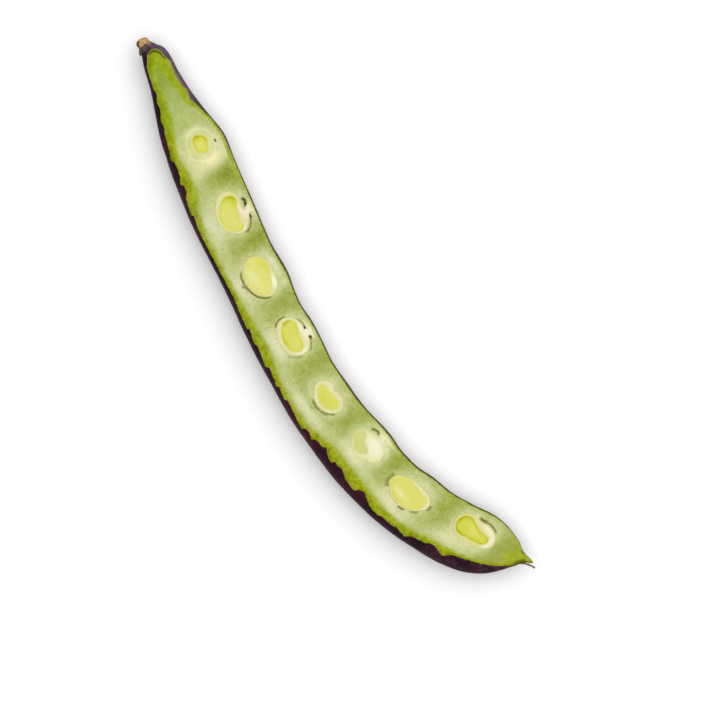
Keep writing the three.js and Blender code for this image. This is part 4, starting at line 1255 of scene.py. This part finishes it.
def make_stalk(number, stalk, material):
    """A seed stalk lying in the cut: a flat bar, flared at its foot, its top flush with the face."""
    route = smooth_route(stalk["route"], 26)
    heading = headings(route)
    side = np.stack([heading[:, 1], -heading[:, 0]], -1)
    angles = np.linspace(0, TAU, 36, endpoint=False)
    rings, edge = [], []
    for i, (centre, across) in enumerate(zip(route, side)):
        t = i / (len(route) - 1)
        flare = stalk["neck"] + (stalk["foot"] - stalk["neck"]) * step(stalk["flare"], 1.0, t)
        flare = flare + (stalk["root"] - stalk["neck"]) * step(0.45, 0.0, t)
        end = math.sqrt(max(0.0, 1 - max(0.0, (t - 0.9) / 0.1) ** 2)) * 0.5 + 0.5
        half = flare / 2 * end
        x = centre[0] + across[0] * half * np.cos(angles)
        y = centre[1] + across[1] * half * np.cos(angles)
        lift = np.where(np.sin(angles) > 0, 0.09, 0.75) * np.sin(angles)
        rings.append(on_cut(x, y, lift - 0.02))
        rim = np.maximum(np.abs(np.cos(angles)) ** 3, step(stalk["flare"], 1.0, t))
        edge.append(np.maximum(rim * stalk["melt"], stalk["pale"]))
    points, faces = ringed(rings[::-1])
    fields = {"edge": np.append(np.concatenate(edge[::-1]), [1, 0]),
              "tone": flesh_tone(points[:, 0], points[:, 1])}
    return piece(f"seed_stalk_{number}", points, faces, [material], None, fields)


def smooth_route(points, count):
    """Points evenly along a smooth curve through the given ones."""
    knots = np.array(points, float)
    padded = np.vstack([2 * knots[0] - knots[1], knots, 2 * knots[-1] - knots[-2]])
    made = []
    for t in np.linspace(0, len(knots) - 1, count):
        i = min(int(t), len(knots) - 2)
        f = t - i
        p0, p1, p2, p3 = padded[i:i + 4]
        made.append(0.5 * (2 * p1 + (p2 - p0) * f + (2 * p0 - 5 * p1 + 4 * p2 - p3) * f**2
                           + (3 * p1 - p0 - 3 * p2 + p3) * f**3))
    return np.array(made)


def headings(route):
    """The direction of a route at each of its points, of length 1."""
    ahead = np.gradient(route, axis=0)
    return ahead / np.linalg.norm(ahead, axis=1)[:, None]


# ---- stem, calyx and style -----------------------------------------------------------------------

STUB_PROFILE = [   # x and radius: from the middle of the cut end out to its rim and back to the neck
    (-0.55, 0.2), (-0.66, 0.55), (-0.84, 0.78), (-0.92, 0.92), (-0.86, 1.08), (-0.66, 1.24), (-0.4, 1.38),
    (-0.1, 1.46), (0.2, 1.44), (0.45, 1.44), (0.62, 1.5), (0.8, 1.5), (1.05, 1.38), (1.3, 1.1),
]
STUB_Y = -0.25
# Where the stub is darker brown, partly its own dark fibre and partly painted shade on its -y side and in
# the crease at the neck: x, y, reach along, reach across and strength.
STUB_DARK_AND_SHADE = [
    (-0.45, -1.0, 0.30, 0.36, 0.8), (-0.15, -1.45, 0.5, 0.30, 0.9), (0.1, -1.75, 0.7, 0.25, 0.8),
    (-0.3, 1.15, 0.3, 0.25, 0.5), (0.3, -0.7, 0.6, 0.8, 0.12),
    (0.95, -0.4, 0.2, 1.0, 0.75), (0.9, -1.3, 0.3, 0.4, 0.5), (0.95, 0.9, 0.2, 0.6, 0.3),
]


def make_stub(material):
    """The cut stub of the stem: a ribbed plug that narrows to the neck."""
    rows = np.array(STUB_PROFILE)
    count = 96
    angles = np.linspace(0, TAU, count, endpoint=False)
    t = np.linspace(0, len(rows) - 1, 72)
    xs, radii = (np.interp(t, np.arange(len(rows)), rows[:, k]) for k in range(2))
    ribs = 0.035 * np.cos(9 * angles + 0.8) + 0.03 * np.cos(5 * angles) + 0.015 * np.cos(17 * angles)
    rings, shade = [], []
    for x, radius in zip(xs, radii):
        r = radius * (1 + ribs * min(1.0, radius / 1.2))
        y = STUB_Y + r * np.cos(angles) * (1.02 - 0.06 * np.cos(angles))
        slant = 0.14 * step(0.4, -0.5, x) * (y - STUB_Y) + 0.16 * step(-0.4, -1.8, y)
        place = x + slant
        rings.append(np.stack([place, y, AXIS_HEIGHT + 0.94 * r * np.sin(angles)], -1))
        # painted shade: the underside of the stub is darker, with a faint change round it
        below = 0.5 * (np.sin(angles) < 0) + 0.1 * np.cos(7 * angles + x * 3)
        shade.append(patches(STUB_DARK_AND_SHADE, place, y) + below)
    points, faces = ringed(rings)
    shade = np.append(np.clip(np.concatenate(shade), 0, 1), [0.3, 0.5])
    return piece("stem_stub", points, faces, [material], None, {"shade": shade})


def make_calyx(material):
    """A dry scrap of calyx: a small ridged scale hugging the neck, its free end lifting off."""
    route = smooth_route([
        (0.72, -1.42, 0.62), (1.05, -1.62, 0.66), (1.45, -1.86, 0.68), (1.85, -2.14, 0.60),
        (2.2, -2.42, 0.42),
    ], 28)
    heading = headings(route)
    out = np.array([0.0, -0.88, 0.47])
    angles = np.linspace(0, TAU, 40, endpoint=False)
    rings, shade = [], []
    for i, (centre, ahead) in enumerate(zip(route, heading)):
        t = i / (len(route) - 1)
        across = np.cross(ahead, out)
        across /= np.linalg.norm(across)
        wide = 0.58 * math.sin(math.pi * (0.14 + 0.78 * t)) ** 0.7
        thick = 0.20 * (1 - 0.45 * t)
        u, v = np.cos(angles), np.sin(angles)
        ridge = 0.05 * np.cos(6 * u + 1.0) * (v > 0) + 0.12 * (u**2) * wide
        ring = (centre + (wide * u)[:, None] * across + (thick * v + ridge)[:, None] * out)
        ring[:, 2] += AXIS_HEIGHT
        rings.append(ring)
        shade.append(0.10 + 0.30 * np.abs(u) + 0.2 * np.cos(6 * u))
    points, faces = ringed(rings)
    shade = np.append(np.clip(np.concatenate(shade), 0, 1), [0.5, 0.6])
    return piece("calyx_scrap", points, faces, [material], None, {"shade": shade})


def make_style(material):
    """The dry style: a thin bent thread that leaves the pod under its point and runs past it."""
    route = smooth_route([
        (146.9, -3.2, 0.10), (147.2, -2.2, 0.30), (147.68, -1.4, 0.40), (148.3, -0.8, 0.35),
        (149.1, -0.22, 0.2), (149.9, 0.18, 0.1), (150.42, 0.42, 0.05),
    ], 48)
    heading = headings(route)
    angles = np.linspace(0, TAU, 16, endpoint=False)
    rings, shade = [], []
    for i, (centre, along_it) in enumerate(zip(route, heading)):
        t = i / (len(route) - 1)
        side = np.cross(along_it, [0, 0, 1])
        side /= np.linalg.norm(side)
        up = np.cross(side, along_it)
        radius = (0.20 + 0.06 * t) * (1 + 0.10 * math.sin(23 * t)) * math.sqrt(min(1.0, (1.02 - t) / 0.06))
        ring = centre + radius * (np.cos(angles)[:, None] * side + 0.8 * np.sin(angles)[:, None] * up)
        ring[:, 2] += AXIS_HEIGHT
        rings.append(ring)
        shade.append(np.full(16, step(0.75, 0.35, t)))
    points, faces = ringed(rings)
    shade = np.append(np.concatenate(shade), [0.5, 0.0])
    return piece("dry_style", points, faces, [material], None, {"shade": shade})


# ---- everything on the frame ---------------------------------------------------------------------

skin = skin_material()
cut_face = cut_material()
coat_finish, kernel_finish = seed_materials()
stalk_finish = stalk_material()
stub_finish = dry_material("cut_stem", (0.40, 0.21, 0.075), (0.66, 0.40, 0.22), (0.085, 0.028, 0.002),
                           0.42, (0.5, 1.2, 1.2))
calyx_finish = dry_material("dry_calyx", (0.115, 0.085, 0.045), (0.165, 0.130, 0.070), (0.03, 0.018, 0.004),
                            0.3, (0.5, 1.0, 1.0))
style_finish = dry_material("dry_style", (0.20, 0.145, 0.09), (0.31, 0.24, 0.155), (0.10, 0.09, 0.02),
                            0.3, (0.5, 1.0, 1.0))


def stand_for(made, node):
    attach(made, "root")
    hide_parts(node)


stand_for(make_pod(skin, cut_face), "pod_half")
for number, seed in enumerate(SEEDS, 1):
    stand_for(make_coat(number, seed, coat_finish), f"seed_coat_{number}")
    stand_for(make_kernel(number, seed, kernel_finish), f"cotyledon_{number}")
for number, stalk in FUNICLES.items():
    stand_for(make_stalk(number, stalk, stalk_finish), f"funicle_{number}")
stand_for(make_stub(stub_finish), "pedicel_stub")
stand_for(make_calyx(calyx_finish), "calyx_remnant")
stand_for(make_style(style_finish), "style_tail")

# ---- floor, light and camera ---------------------------------------------------------------------


FLOOR_HALF = 3.0                    # metres, as are the softbox's place and size
SKY_STRENGTH = 0.32
SOFTBOX_PLACE = (0.03, 0.20, 1.0)
SOFTBOX_SIZE = 2.4
SOFTBOX_WATTS = 20.9


def make_floor():
    mesh = bpy.data.meshes.new("floor")
    low, high = -FLOOR_HALF, FLOOR_HALF
    corners = [(low, low, 0), (high, low, 0), (high, high, 0), (low, high, 0)]
    mesh.from_pydata(corners, [], [(0, 1, 2, 3)])
    material, _, _ = new_material("floor", Base_Color=(0.93, 0.93, 0.93, 1.0), Roughness=0.9,
                                  Specular_IOR_Level=0.1)
    mesh.materials.append(material)
    in_scene("floor", mesh)


def aim(obj, place, target):
    obj.location = place
    obj.rotation_mode = "QUATERNION"
    obj.rotation_quaternion = (Vector(target) - Vector(place)).to_track_quat("-Z", "Y")


def area_light(name, place, target, size, power):
    lamp = bpy.data.lights.new(name, "AREA")
    lamp.shape = "DISK"
    lamp.size = size
    lamp.energy = power
    aim(in_scene(name, lamp), place, target)


LENS_MM, SENSOR_MM = 150.0, 36.0
VIEW_WIDTH = 164.7            # how much the picture spans at CUT_LEVEL, edge to edge
VIEW_CENTRE = (88.2, -3.5)    # the place in the middle of the picture, x and y as above
VIEW_ROLL = 53.5              # degrees that the stem-to-tip line is turned in the picture
CUT_LEVEL = 7.0               # height above the floor, within the range of the cut face


def make_camera():
    data = bpy.data.cameras.new("camera")
    data.lens, data.sensor_width = LENS_MM, SENSOR_MM
    data.clip_start, data.clip_end = 0.01, 20
    camera = in_scene("camera", data)
    distance = VIEW_WIDTH * LENS_MM / SENSOR_MM
    camera.location = to_frame([*VIEW_CENTRE, CUT_LEVEL + distance])
    camera.rotation_euler = (0, 0, math.radians(VIEW_ROLL))
    bpy.context.scene.camera = camera


def make_light():
    world = bpy.data.worlds.new("studio")
    world.use_nodes = True
    background = world.node_tree.nodes["Background"]
    background.inputs["Color"].default_value = (1.0, 1.0, 1.0, 1.0)
    background.inputs["Strength"].default_value = SKY_STRENGTH
    bpy.context.scene.world = world
    area_light("softbox", SOFTBOX_PLACE, (0, 0, 0), SOFTBOX_SIZE, SOFTBOX_WATTS)
    view = bpy.context.scene.view_settings
    view.view_transform = "Standard"
    view.look = "None"
    view.exposure = 0.0


make_floor()
make_light()
make_camera()
